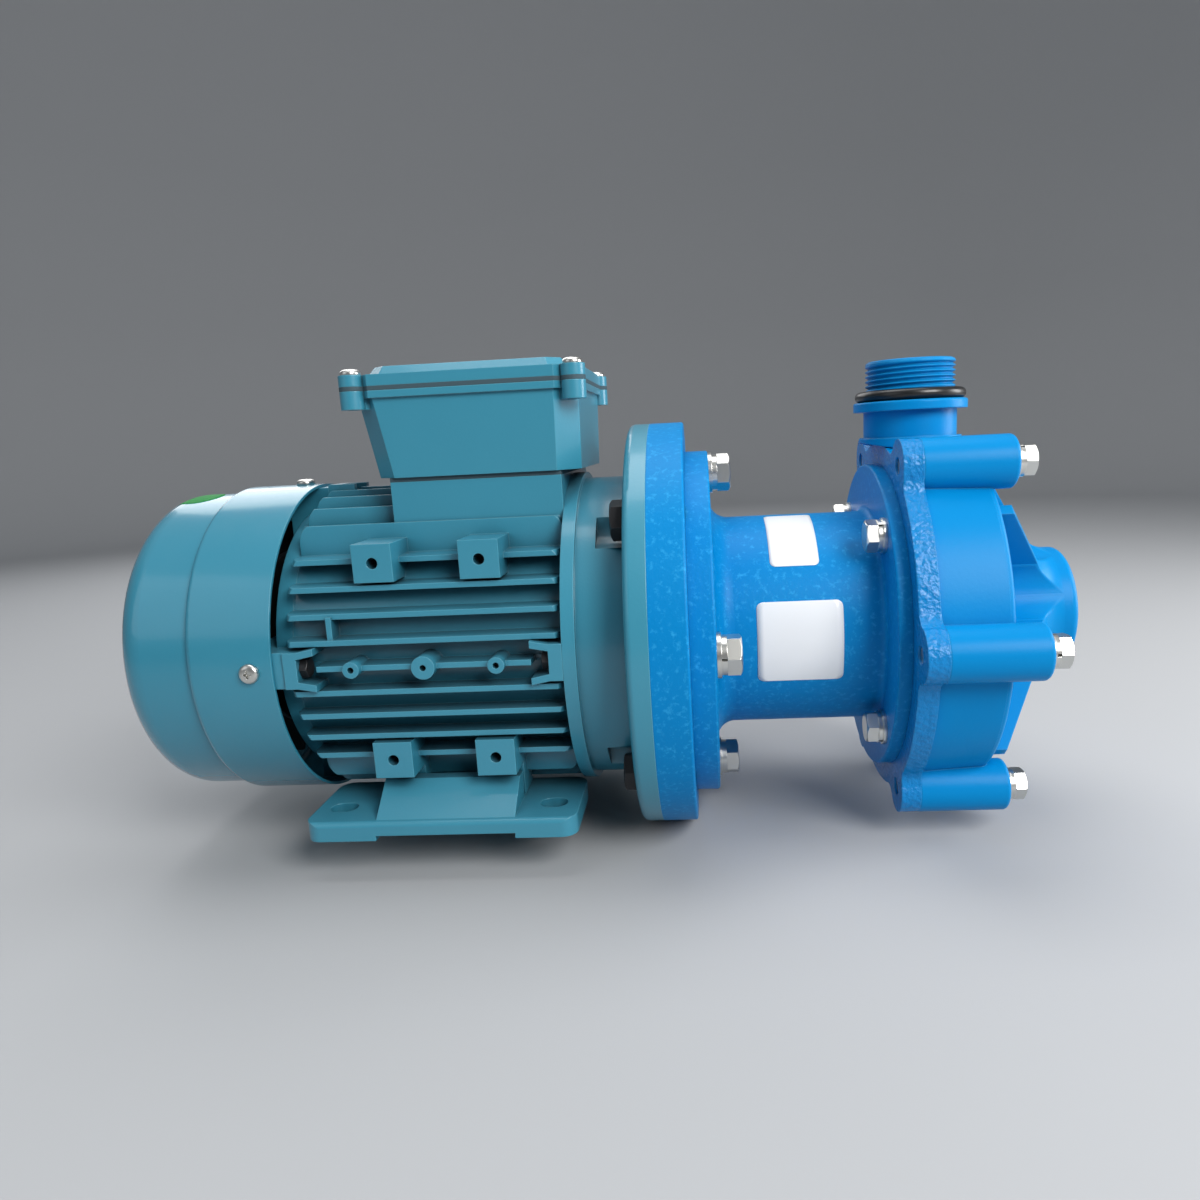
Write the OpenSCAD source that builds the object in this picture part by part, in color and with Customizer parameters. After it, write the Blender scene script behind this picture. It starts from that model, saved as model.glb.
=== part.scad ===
// Close-coupled magnetic drive pump. A flange motor on feet turns an outer magnet cup, and the cup drags
// the impeller's magnet rotor round inside a sealed barrier. Millimetres, +Z up, shaft along X.
// Origin: middle of the foot hole pattern, on the foot plane. Stations are distances along the shaft from
// the motor's flange face, positive towards the pump.

/* [Motor mounting] */
// Shaft centre height above the foot plane
shaft_h = 80; // [80:1:86]
// Foot hole spacing along the shaft
foot_pitch_x = 100; // [96:1:104]
// Foot hole spacing across the shaft
foot_pitch_y = 125; // [122:1:128]
// Distance from the flange face to the nearer foot holes
foot_to_face = 50; // [47:1:54]
// Length of each foot along the shaft
foot_l = 125; // [122:1:132]
// Distance from the shaft plane to the outer edge of a foot
foot_half_w = 80; // [77:1:86]
// Distance from the shaft plane to the inner edge of a foot
foot_in_y = 32; // [28:1:34]
// Thickness of the foot plate
foot_t = 9; // [8:0.5:10]
// Width of the foot slots
foot_slot_w = 10; // [9:0.5:11]
// Length of the foot slots
foot_slot_l = 13; // [12:0.5:15]
// Depth of the relief under the middle of each foot
foot_relief = 2.4; // [1.5:0.1:3]
// Length of the raised shoulder on each foot
shoulder_l = 64; // [60:1:66]
// Height of the shoulder above the foot plane
shoulder_h = 22; // [20:1:24]
// Distance from the shaft plane to the shoulder's top edge
shoulder_y = 61; // [59:0.5:64]

/* [Motor frame] */
// Radius over the fin tips
fin_tip_r = 76; // [73:0.5:77]
// Radius of the frame wall between the fins
frame_wall_r = 66; // [65:0.5:68]
// Length of the finned frame
frame_l = 124; // [120:1:130]
// Spacing of the fins
fin_pitch = 11.4; // [10.8:0.1:12]
// Fins on each side of the frame
fin_count = 9; // [7:2:9]
// Fin thickness at the tip
fin_tip_t = 2.5; // [2:0.1:3]
// Fin thickness at the frame axis, so that the fins taper outwards
fin_root_t = 6; // [4:0.5:7]
// Radius rounding the outer corners of the fin ends
fin_end_r = 7; // [5:0.5:9]
// Mounting pad spacing along the shaft
pad_pitch_x = 47.4; // [46:0.2:49]
// Mounting pad spacing across a side
pad_pitch_z = 90.8; // [88:0.2:92]
// Distance from the shaft axis to the pad faces
pad_face = 70; // [69:0.2:70]
// Length of a pad along the shaft
pad_w = 17.8; // [16:0.2:19]
// Height of a pad
pad_h = 17; // [15:0.5:18]
// Radius of the tapped holes in the side pads
pad_hole_r = 2.5; // [2.1:0.1:3.4]
// Depth of the tapped holes in the pads
pad_hole_l = 14; // [12:0.5:16]
// Distance of the pads' middle ahead of the foot holes' middle
pad_shift = 2.6; // [0:0.2:4]
// Spacing of the sighting bosses on the middle fin
boss_pitch = 32.2; // [31:0.2:34]
// Distance from the shaft axis to the sighting boss faces
boss_face = 79.5; // [78:0.5:81]
// Radius of the middle sighting boss
boss_mid_r = 5.2; // [4.5:0.1:5.6]
// Radius of the outer sighting bosses
boss_end_r = 3.7; // [3.2:0.1:4.2]
// Length of the solid part of a tie lug
lug_block_l = 6; // [5:0.5:7]
// Length of the two arms beside a tie lug's screw head
lug_arm_l = 8; // [6:0.5:9]
// Width of a tie lug
lug_w = 16.5; // [15.5:0.5:18]
// Radius to the outer face of a tie lug
lug_r = 78; // [77:0.5:78.4]
// Radius of the endshield screw circle
lug_screw_r = 71.5; // [71:0.1:72]

/* [Motor endshields] */
// Distance from the flange face to the finned frame
endshield_l = 39; // [37:1:43]
// Radius of the motor flange
flange_r = 100; // [98:0.5:104]
// Thickness of the motor flange
flange_t = 10; // [9:0.5:11]
// Radius of the bolt circle of the motor flange
flange_bolt_r = 82.5; // [82:0.1:84]
// Radius of the bolt holes in the motor flange
flange_hole_r = 6; // [5.5:0.1:6.5]
// Radius of the locating spigot on the flange face
spigot_r = 65; // [63:0.5:66]
// Height of the locating spigot
spigot_h = 3.5; // [2.5:0.1:3.8]
// Radius of the endshield's bell
bell_r = 75; // [74:0.5:77]
// Wall of the endshield's bell
bell_wall = 8; // [7:0.5:9]
// Radius of the rim where the endshield meets the frame
rim_r = 78; // [77:0.5:79]
// Width of that rim
rim_w = 6; // [5:0.5:8]
// Thickness of the non-drive endshield plate
nde_plate_t = 8; // [7:0.5:9]
// Length of the cowl blocks on the non-drive endshield
nde_block_l = 21; // [19.5:0.5:22]
// Depth of the endshield registers in the frame
register_l = 5; // [4:0.5:6]
// Wall of the endshield registers
register_wall = 3; // [2.5:0.5:3.5]

/* [Cowl and fan] */
// Gap between the frame's end and the cowl's open edge
cowl_gap = 5; // [3:0.5:6]
// Radius of the front part of the cowl
cowl_r = 78.5; // [78.5:0.5:81]
// Length of the front part of the cowl
cowl_front_l = 39.5; // [37:0.5:42]
// Radius of the rear part of the cowl
cowl_rear_r = 75.5; // [74:0.5:76.5]
// Length of the rear part of the cowl
cowl_rear_l = 36.5; // [34:0.5:40]
// Radius rounding the cowl's rear edge
cowl_corner_r = 14; // [10:0.5:16]
// Sheet thickness of the cowl
cowl_t = 1.4; // [1.2:0.1:1.8]
// Distance from the cowl's open edge to its screws
cowl_screw_inset = 10; // [9:0.5:11]
// Number of air slot rings in the cowl's end
vent_rings = 4; // [3:1:4]
// Width of an air slot
vent_w = 5; // [4:0.5:6]
// Radial spacing of the air slots
vent_pitch = 10; // [9:0.5:11]
// Number of spokes across the air slots
vent_spokes = 8; // [6:1:10]
// Width of a spoke
vent_spoke_w = 6; // [5:0.5:8]
// Radius over the fan blades
fan_r = 64; // [58:0.5:68]
// Axial width of the fan blades
fan_blade_w = 24; // [20:0.5:26]
// Thickness of a fan blade
fan_blade_t = 2; // [1.5:0.1:3]
// Number of fan blades
fan_blades = 7; // [5:1:9]

/* [Motor inside] */
// Radius of the stator core
stator_r = 60; // [58:0.5:61]
// Radius of the stator bore
stator_bore_r = 37.5; // [36:0.5:38]
// Length of the stator and rotor cores
core_l = 70; // [64:1:72]
// Number of stator slots
stator_slots = 24; // [18:6:30]
// Width of a stator slot
slot_w = 4.6; // [4:0.1:5]
// Depth of a stator slot behind the tooth tips
slot_d = 12; // [10:0.5:13]
// Thickness of the tooth tips at the bore
tooth_tip = 1.2; // [1:0.1:2]
// Radial air gap between stator and rotor
air_gap = 0.5; // [0.4:0.1:0.8]
// Overhang of the winding beyond the core
winding_l = 18; // [14:0.5:19]
// Radius of the shaft inside the rotor
shaft_core_r = 12.5; // [12:0.1:13.5]
// Radius of the shaft at the bearings
bearing_bore_r = 10; // [9.8:0.1:10.5]
// Outside radius of the bearings
bearing_r = 23.5; // [23:0.1:24.5]
// Width of the bearings
bearing_w = 14; // [13:0.5:15]
// Number of balls in a bearing
ball_count = 8; // [7:1:8]
// Radius of a bearing ball
ball_r = 3.8; // [3.6:0.05:3.9]
// Radius of the shaft extension
shaft_r = 9.5; // [9:0.1:9.7]
// Length of the shaft extension
shaft_ext_l = 40; // [37:1:42]
// Radius of the shaft at the fan
fan_shaft_r = 7; // [6.5:0.1:8]
// Width and height of the shaft key
key_w = 6; // [5:0.5:6.5]
// Length of the shaft key
key_l = 28; // [24:1:30]
// Depth of the key seat in the shaft
key_depth = 3.5; // [3:0.1:3.8]

/* [Terminal box] */
// Overhang of the box beyond the finned frame's pump end
box_ahead = 9.5; // [6:0.5:10]
// Length of the box at its rim
box_l = 102; // [98:1:106]
// Width of the box at its rim
box_w = 97; // [95:0.5:99]
// Height of the box
box_h = 39; // [37:0.5:44]
// Inset of the box bottom at the cowl end
box_taper_back = 6.5; // [5:0.5:9]
// Inset of the box bottom at the pump end
box_taper_front = 1; // [0.5:0.5:3]
// Inset of the box bottom at each side
box_taper_side = 1.5; // [0.5:0.5:3]
// Chamfer of the box's upright corners
box_chamfer = 10; // [9:0.5:12]
// Wall of the box and its lid
box_wall = 3; // [2.5:0.1:4]
// Height of the band round the rim
band_h = 3.2; // [2.5:0.1:4]
// Projection of the band and of the lid
band_out = 1.6; // [1:0.1:2]
// Radius of the corner lugs
box_lug_r = 5.5; // [5:0.1:6]
// Height of the corner lugs on the box
box_lug_h = 8; // [7:0.5:10]
// Spacing of the lid screws along the shaft
lid_pitch_x = 100; // [98:0.5:102]
// Spacing of the lid screws across the shaft
lid_pitch_y = 93; // [91:0.5:95]
// Thickness of the gaskets above and below the box
gasket_t = 2; // [1.5:0.1:2.5]
// Thickness of the lid's edge
lid_t = 5; // [4:0.2:6]
// Height of the raised middle of the lid
lid_rise = 4; // [3:0.2:5]
// Inset of the raised middle from the lid's edge
lid_step = 5; // [4:0.5:7]
// Inset of the frame's neck under the box at the cowl end
neck_in = 7; // [5:0.5:9]
// Width of the frame's neck
neck_w = 90; // [86:1:91]
// Height of the neck's top above the shaft axis
neck_top = 79; // [78.5:0.5:82]
// Radius of the lead hole through the neck
lead_r = 13; // [11:0.5:14]
// Radius of the cable gland's thread
gland_r = 10; // [8:0.5:12]

/* [Motor adapter] */
// Thickness of the adapter plate
plate_t = 16.3; // [15:0.1:18]
// Length of the motor adapter between its two faces
adapter_l = 94.7; // [92:0.1:98]
// Radius of the adapter's motor flange
mount_flange_r = 85.5; // [85:0.5:88]
// Thickness of the adapter's motor flange
mount_flange_t = 11.3; // [10:0.1:13]
// Radius of the bolt circle of the adapter's motor flange
mount_bolt_r = 74.6; // [73.5:0.1:76]
// Radius of the register between plate and adapter
mount_register_r = 57.1; // [56:0.1:59]
// Height of the registers of the adapter
register_h = 3; // [2:0.1:3.5]
// Radius of the barrel
barrel_r = 52; // [51.5:0.1:53]
// Wall of the barrel
barrel_wall = 5; // [4:0.1:5.5]
// Fillet between the barrel and its motor flange
barrel_fillet = 9; // [7:0.5:10]
// Radius of the disc at the pump end
disc_r = 75; // [73:0.5:77]
// Thickness of the disc
disc_t = 6; // [5:0.5:8]
// Radius of the disc's bolt circle
disc_bolt_r = 63.6; // [63.2:0.1:64.5]

/* [Pump casing] */
// Thickness of the clamp ring
ring_t = 9; // [8.5:0.1:11]
// Radius of the clamp ring between its ears
ring_r = 85; // [84:0.5:86]
// Radius of the ear bolt circle
ear_bolt_r = 87; // [86.5:0.1:88.5]
// Radius of an ear
ear_r = 12; // [11:0.2:12.6]
// Number of ears
ear_count = 6; // [6:1:6]
// Fillet between an ear and the ring
ear_fillet = 8; // [6:0.5:10]
// Radius of the housing drum at the clamp ring
drum_r = 82.5; // [82:0.1:83.5]
// Draft of the housing drum over its length
drum_draft = 2; // [1:0.1:2.5]
// Length of the housing drum
drum_l = 32; // [30:0.5:35]
// Radius rounding the drum's front edge
drum_edge_r = 2.5; // [1.5:0.5:4]
// Radius of a housing boss
boss_r = 12; // [11:0.1:12.6]
// Length of the housing bosses
boss_l = 41; // [39:0.5:44]
// Length of the housing from the clamp ring to its suction face
suction_l = 79; // [77:0.5:84]
// Radius of the suction hub
suction_r = 30; // [29.5:0.5:33]
// Radius of the suction port's threaded wall
suction_port_r = 23.9; // [23:0.1:24.5]
// Length of the suction port's threaded wall
suction_port_l = 21; // [18:0.5:24]
// Radius of the suction passage behind the thread
suction_bore_r = 19.5; // [19:0.1:20]
// Number of front ribs
rib_count = 8; // [6:1:10]
// Thickness of a front rib
rib_t = 5; // [4:0.5:7]
// Height of the front ribs at the drum's edge
rib_foot_h = 5.5; // [4:0.5:8]
// Distance of the front ribs' tips behind the suction face
rib_back = 15; // [12:0.5:18]
// Radius of the opening that the impeller enters through
chamber_r = 50; // [49.5:0.1:51]
// Depth of the impeller chamber
chamber_l = 19.5; // [19:0.5:21]
// Radius of the scroll round the impeller
scroll_r = 60; // [57:0.5:62]
// Shift of the scroll from the shaft axis
scroll_shift = 5; // [3:0.5:6]

/* [Discharge nozzle] */
// Station of the nozzle's middle beyond the clamp ring
nozzle_ahead = 6.5; // [5:0.5:9]
// Height of the collar
collar_h = 2; // [1.2:0.2:3]
// Radius of the collar
collar_r = 24; // [23:0.2:25]
// Radius of the nozzle neck
neck_r = 21.8; // [21.2:0.1:22.6]
// Height of the nozzle flange's underside above the shaft axis
nozzle_flange_z = 100; // [98:0.5:103]
// Thickness of the nozzle flange
nozzle_flange_t = 4.5; // [4:0.1:6]
// Radius of the nozzle flange
nozzle_flange_r = 26.6; // [26:0.1:28]
// Radius of the discharge thread
thread_r = 20.95; // [20.5:0.05:21.2]
// Length of the discharge thread
thread_l = 19; // [17:0.5:21]
// Chamfer at the thread's end
thread_chamfer = 1.3; // [1:0.1:1.6]
// Radius of the discharge passage
nozzle_bore_r = 16; // [14:0.5:17]
// Section radius of the discharge O-ring
nozzle_oring_r = 2.6; // [2.2:0.1:2.8]

/* [Barrier and magnets] */
// Outside radius of the barrier's can
can_r = 34.5; // [33.8:0.1:34.8]
// Wall of the can
can_wall = 3; // [2.6:0.1:3.2]
// Depth of the barrier behind the clamp ring's face
can_l = 70; // [68:0.5:71]
// Radius of the barrier's flange
barrier_r = 57; // [56.5:0.1:57.5]
// Thickness of the barrier's flange
barrier_t = 4; // [3.5:0.1:4.5]
// Radial gap between the outer magnets and the can
outer_gap = 1.5; // [1.2:0.1:1.8]
// Radial thickness of the outer magnets
outer_magnet_t = 4; // [3.5:0.1:4.2]
// Length of the magnets
magnet_l = 36; // [32:0.5:38]
// Number of magnets in each set
magnet_count = 8; // [6:2:10]
// Wall of the outer magnet cup
cup_wall = 4.5; // [4:0.1:5]
// Thickness of the cup's floor
cup_floor = 7; // [6:0.5:8]
// Gap between the cup's floor and the can
cup_end_gap = 5; // [4:0.5:6]
// Radius of the hub on the motor shaft
hub_r = 18; // [16.5:0.5:20]
// Length of the hub on the motor shaft
hub_l = 40; // [37:0.5:40]
// Radial gap between the can and the rotor jacket
inner_gap = 1; // [0.8:0.1:1.2]
// Wall of the rotor jacket
jacket_wall = 2.2; // [1.8:0.1:2.6]
// Radial thickness of the inner magnets
inner_magnet_t = 5.5; // [5:0.1:6]
// Radius of the bearing bush
bush_r = 13; // [12.5:0.1:13.5]
// Radius of the pump shaft
pump_shaft_r = 8; // [7.5:0.1:8.3]

/* [Impeller] */
// Radius of the impeller
impeller_r = 48; // [44:0.5:49]
// Thickness of the impeller's shrouds
shroud_t = 3; // [2.5:0.1:3.4]
// Height of the impeller vanes
vane_h = 9.5; // [8.5:0.1:10]
// Thickness of a vane
vane_t = 3; // [2.5:0.1:4]
// Number of vanes
vane_count = 6; // [5:1:7]
// Radius of curvature of a vane
vane_curve_r = 30; // [28:0.5:34]
// Radius of the impeller's eye
eye_r = 19.5; // [18.5:0.1:20]
// Length of the eye's neck
eye_l = 4; // [3:0.2:4.4]

/* [Hidden] */
$fn = 64;

// Overrun of a cutting shape beyond the face it cuts
over = 0.5;
// Clearance of parts that seat in each other
seat_fit = 0.05;
// Clearance of a screw in its tapped hole
thread_fit = 0.05;
// Running clearance of a shaft in a plain bearing or seal
running_fit = 0.06;
// Clearance between rolling elements and their tracks
rolling_fit = 0.3;
// Clearance of a screw in a plain hole
hole_fit = 0.5;
// Lap that makes a fillet cross the arcs it joins instead of only touching them
tangent_lap = 0.02;
// Clearance between flat faces that turn past each other
face_gap = 0.5;

// Finishes
motor_teal = [0.29, 0.61, 0.71];
pump_blue = [0.04, 0.52, 0.85];
stainless = [0.78, 0.78, 0.77];
dark_steel = [0.16, 0.16, 0.17];
bare_steel = [0.6, 0.6, 0.61];
copper = [0.72, 0.42, 0.24];
brass = [0.75, 0.62, 0.32];
aluminium = [0.74, 0.76, 0.78];
black_rubber = [0.05, 0.05, 0.05];
black_plastic = [0.1, 0.1, 0.11];
grey_gasket = [0.3, 0.31, 0.32];
magnet_grey = [0.35, 0.35, 0.37];
ceramic = [0.93, 0.91, 0.86];
carbon = [0.13, 0.13, 0.14];

// Fastener sizes: thread diameter, width across flats, head height
m10 = [10, 16, 6.4];
m8 = [8, 13, 5.3];
m5 = [5, 8, 3.5];
// Flat and spring washer sizes: outside diameter, thickness
m10_washer = [20, 2];
m10_spring = [17.5, 2.5];
m8_washer = [16, 1.6];
m8_spring = [14.5, 2];
// Foot bolt: thread diameter, head diameter, head height
m6_socket = [6, 10, 6];
// Cowl screw: thread diameter, head diameter, head height, shank length
cowl_screw = [5, 8.5, 2.6, 8];
// Lid and box screws: thread diameter, head diameter, head height
box_screw = [5, 9, 2.8];
// Slot cut in a spring washer
spring_slot = 1.2;

// Axial gap between the magnet cup and the clamp ring
cup_clear = 6;
// Lip of the magnet cup in front of its magnets
seat_lip = 2;
// Shoulder that stops a bearing in its endshield
bearing_shoulder = 6;
// Stations along the shaft
face_x = foot_pitch_x / 2 + foot_to_face;
frame_s1 = -endshield_l;
frame_s0 = frame_s1 - frame_l;
cowl_s1 = frame_s0 - cowl_gap;
cowl_step_s = cowl_s1 - cowl_front_l;
cowl_s0 = cowl_step_s - cowl_rear_l;
cowl_screw_s = cowl_s1 - cowl_screw_inset;
nde_s0 = frame_s0 - nde_block_l;
mount_s1 = plate_t + mount_flange_t;
ring_s0 = plate_t + adapter_l;
ring_s1 = ring_s0 + ring_t;
drum_s1 = ring_s1 + drum_l;
boss_s1 = ring_s1 + boss_l;
suction_s1 = ring_s1 + suction_l;
chamber_s1 = ring_s1 + chamber_l;
can_s0 = ring_s1 - can_l;
cup_floor_s1 = can_s0 - cup_end_gap;
hub_s0 = cup_floor_s1 - hub_l;
cup_s1 = ring_s0 - cup_clear;
magnet_s1 = cup_s1 - seat_lip;
magnet_s0 = magnet_s1 - magnet_l;

// Motor frame
frame_bore_r = stator_r + seat_fit;
fin_reach = (fin_count - 1) / 2;
bearing_end_gap = 2;
de_bearing_s1 = -flange_t - bearing_shoulder;
de_bearing_s0 = de_bearing_s1 - bearing_w;
nde_bearing_s0 = nde_s0 + bearing_shoulder - bearing_end_gap;
nde_bearing_s1 = nde_bearing_s0 + bearing_w;
hub_wall = 7;
seal_r = 17.5;
seal_w = 7;
core_s0 = (frame_s0 + frame_s1 - core_l) / 2;
core_s1 = core_s0 + core_l;
winding_r = stator_bore_r + tooth_tip + slot_d;
winding_in_r = stator_bore_r + tooth_tip + 2;
slot_liner = 0.2;
slot_mouth = 2;
rotor_r = stator_bore_r - air_gap;
end_ring_l = 8;
end_ring_in_r = 23;
ball_circle_r = (bearing_bore_r + bearing_r) / 2;
race_gap = 2.6;
cage_half_t = 1.4;
cage_w = 11;
fan_hub_r = 13;
fan_plate_r = 0.7 * fan_r;
fan_plate_t = 2.5;
fan_tip_w = 0.7 * fan_blade_w;
fan_gap = 6;
fan_s1 = nde_s0 - fan_gap;
fan_s0 = fan_s1 - fan_blade_w;
shaft_s0 = fan_s0 - 2;
shaft_chamfer = 1;
shaft_step = 5;
key_s1 = shaft_ext_l - 5;
key_s0 = key_s1 - key_l;

// Feet and pads
foot_seat_z = shaft_h - pad_face;
shoulder_in_y = (pad_pitch_z + pad_h) / 2 + 1;
foot_bolt_grip = 3.5;
foot_bolt_l = 14;
foot_corner_r = 7;
foot_edge_r = 2.5;
sight_hole_r = 1.4;
sight_hole_l = 5;
pad_x = [pad_shift - pad_pitch_x / 2, pad_shift + pad_pitch_x / 2];

// Endshield screws
lug_screw_l = 15;
lug_gap = m5[1] / cos(30) + 1;
bolt_pocket_r = 12;
bolt_pocket_l = 14;
flange_edge_r = 3;
flange_bolt_l = flange_t + plate_t - 3;

// Terminal box, with heights above the shaft axis
box_x = face_x + frame_s1 + box_ahead - box_l / 2;
box_z = shaft_h + neck_top + gasket_t;
rim_z = box_z + box_h;
lid_z = rim_z + gasket_t;
box_bottom_l = box_l - box_taper_back - box_taper_front;
box_bottom_x = (box_taper_back - box_taper_front) / 2;
neck_l = box_bottom_l + box_taper_front - box_ahead - neck_in;
neck_x = face_x + frame_s1 - neck_l / 2;
box_screw_in = box_wall + box_chamfer / 2 + box_screw[1] / 2;
box_screw_x = (neck_l - box_screw[1]) / 2;
box_screw_y = box_w / 2 - box_taper_side - box_screw_in;
lead_inset = 9;
lead_y = -lead_r - lead_inset;
board_size = [64, 30, 7];
board_y = lead_y + lead_r + board_size[1] / 2 + 0.5;
stud_r = 2;
stud_h = 14;
stud_pitch = [20, 18];
stud_nut = [7, 3];
gland_z = box_z + box_h / 2;
gland_boss_r = gland_r + 5;
lug_web = 1.5 * box_lug_r;
gland_y = box_w / 2 + 1;
gland_hex = [27, 6];
gland_nut_size = [12.5, 14];
gland_hole_r = 5.5;
gland_tail = box_wall + 2;
gland_stub = 6;
box_screw_grip = 10;
screw_end = 1;

// Pump casing
barrel_in_r = barrel_r - barrel_wall;
disc_register_r = barrel_in_r + 4;
disc_fillet = 3;
hub_clear = 10;
plate_bore_r = hub_r + hub_clear;
plate_edge = 1;
ring_bore_r = can_r + 2;
ring_web = ring_t - barrier_t - register_h + 1;
adapter_bolt_l = mount_flange_t + plate_t - 4;
disc_bolt_l = disc_t + ring_t - 2;
housing_bolt_l = boss_l + ring_t - 1;
boss_edge_r = 2;
ear_start = 30;
hub_edge_r = 3.5;
rib_foot_r = drum_r - drum_draft - drum_edge_r;
rib_root = 4;
cone_s = drum_s1 + 5;
rib_in_r = suction_bore_r + 2;
mouth_wall = 4;
mouth_lip = 2;
mouth_seat = 5;
mouth_in_r = eye_r + shroud_t + face_gap;
mouth_r = mouth_in_r + mouth_wall;
mouth_s1 = chamber_s1 + mouth_seat;
spider_boss_r = pump_shaft_r + 3.2;
spider_l = 14;
spider_s0 = mouth_s1 + 3;
spider_arm_t = 5;
throat_wall = 5;
oring_r = 1.3;
oring_ring_r = (barrier_r + chamber_r) / 2;
collar_z = ring_r + hole_fit;
nozzle_s = ring_s1 + nozzle_ahead;
nozzle_x = face_x + nozzle_s;
collar_seat_z = shaft_h + collar_z;
nozzle_face_z = shaft_h + nozzle_flange_z + nozzle_flange_t;
nozzle_top_z = nozzle_face_z + thread_l;
thread_z = nozzle_face_z + 2 * nozzle_oring_r;
oring_seat_r = thread_r - 0.35;

// Barrier and rotors
can_in_r = can_r - can_wall;
cup_in_r = can_r + outer_gap + outer_magnet_t;
cup_r = cup_in_r + cup_wall;
jacket_r = can_in_r - inner_gap;
jacket_in_r = bush_r + seat_fit;
jacket_tube_r = jacket_in_r + jacket_wall;
pocket_r = jacket_r - jacket_wall;
inner_magnet_r = pocket_r - seat_fit;
back_iron_r = inner_magnet_r - inner_magnet_t - seat_fit;
magnet_slot_deg = 4;
can_boss_r = bush_r;
can_boss_l = 7;
can_edge_r = 5;
thrust_t = 3;
rear_thrust_s0 = can_s0 + can_wall + can_boss_l;
jacket_s0 = rear_thrust_s0 + thrust_t + face_gap;
impeller_s0 = ring_s1 + 1.5;
impeller_step = 6;
hub_seat_s = impeller_s0 - impeller_step;
bush_lap = 4;
bush_s1 = hub_seat_s + bush_lap;
vane_in_r = eye_r - 4;
vane_s0 = impeller_s0 + shroud_t;
vane_s1 = vane_s0 + vane_h;
front_shroud_s1 = vane_s1 + shroud_t;
eye_s1 = front_shroud_s1 + eye_l;
nose_r = pump_shaft_r + 3;
nose_s1 = spider_s0 - thrust_t - face_gap;
set_screw_r = 3;
pump_shaft_s0 = can_s0 + can_wall + 1;
pump_shaft_s1 = spider_s0 + spider_l - 3;

// Frames of reference and shared shapes

// Carries children to a station, with their Z axis along the shaft
module on_shaft(s = 0) {
    translate([face_x + s, 0, shaft_h]) rotate([0, 90, 0]) children();
}

// Turns a flat section of radius and station about the shaft
module turn() {
    on_shaft() rotate_extrude() children();
}

// Section of a ring between two stations
module band(s0, s1, r_out, r_in = 0) {
    translate([r_in, s0]) square([r_out - r_in, s1 - s0]);
}

// Repeats children on a circle about their Z axis
module on_circle(n, r, start = 0) {
    for (i = [0 : n - 1]) rotate(start + i * 360 / n) translate([r, 0, 0]) children();
}

// Corner left over by a rounded edge, pointing towards +X +Y
module corner(r) {
    difference() {
        translate([-r, -r]) square(r + over);
        translate([-r, -r]) circle(r);
        translate([-r - over, -r - over]) square([over, r + 2 * over]);
    }
}

// Fillet standing in an inner corner, towards +X +Y
module fillet(r) {
    difference() {
        square(r);
        translate([r, r]) circle(r);
    }
}

// Rectangle with rounded corners about its middle
module rounded(l, w, r) {
    square([l - 2 * r, w], center = true);
    square([l, w - 2 * r], center = true);
    for (x = [-1, 1], y = [-1, 1]) translate([x * (l / 2 - r), y * (w / 2 - r)]) circle(r);
}

// Rectangle with chamfered corners about its middle
module chamfered(l, w, c) {
    x = l / 2;
    y = w / 2;
    polygon([
        [x, c - y], [x, y - c], [x - c, y], [c - x, y],
        [-x, y - c], [-x, c - y], [c - x, -y], [x - c, -y]
    ]);
}

// Hexagon prism with its far edge chamfered, standing on Z = 0
module hex_head(af, h) {
    intersection() {
        cylinder(d = af / cos(30), h = h, $fn = 6);
        cylinder(r1 = af / 2 * 0.95 + h / tan(30), r2 = af / 2 * 0.95, h = h);
    }
}

// Hexagon bolt with its seat at Z = 0, head above and shank below
module hex_bolt(size, l) {
    hex_head(size[1], size[2]);
    translate([0, 0, -l]) cylinder(d = size[0], h = l);
}

// Flat washer standing on Z = 0
module washer(size, d) {
    difference() {
        cylinder(d = size[0], h = size[1]);
        translate([0, 0, -over]) cylinder(d = d + hole_fit / 2, h = size[1] + 2 * over);
    }
}

// Split spring washer standing on Z = 0
module spring_washer(size, d) {
    difference() {
        washer(size, d);
        translate([0, -spring_slot / 2, -over]) cube([size[0], spring_slot, size[1] + 2 * over]);
    }
}

// Pan head screw with its seat at Z = 0, head above and shank below
module pan_screw(size, l) {
    intersection() {
        cylinder(d = size[1], h = size[2]);
        translate([0, 0, size[2] - size[1]]) sphere(size[1]);
    }
    translate([0, 0, -l]) cylinder(d = size[0], h = l);
}

// Arc segments of a ring, evenly spaced with a gap between them
module segments(r_out, r_in, h, n) {
    difference() {
        rotate_extrude() translate([r_in, 0]) square([r_out - r_in, h]);
        for (i = [0 : n - 1]) rotate(i * 360 / n) rotate(-magnet_slot_deg / 2) translate([0, 0, -over])
            linear_extrude(h + 2 * over)
                polygon([[0, 0], [2 * r_out, 0], 2 * r_out * [cos(magnet_slot_deg), sin(magnet_slot_deg)]]);
    }
}

// Motor

// Cross-section of the fins of one side, standing along +Y, with flat tips on the tip circle
module fin_row() {
    for (k = [-fin_reach : fin_reach]) {
        a = k * fin_pitch;
        tip = sqrt(fin_tip_r * fin_tip_r - a * a);
        polygon([
            [a - fin_root_t / 2, 0], [a + fin_root_t / 2, 0],
            [a + fin_tip_t / 2, tip], [a - fin_tip_t / 2, tip]
        ]);
    }
}

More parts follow.
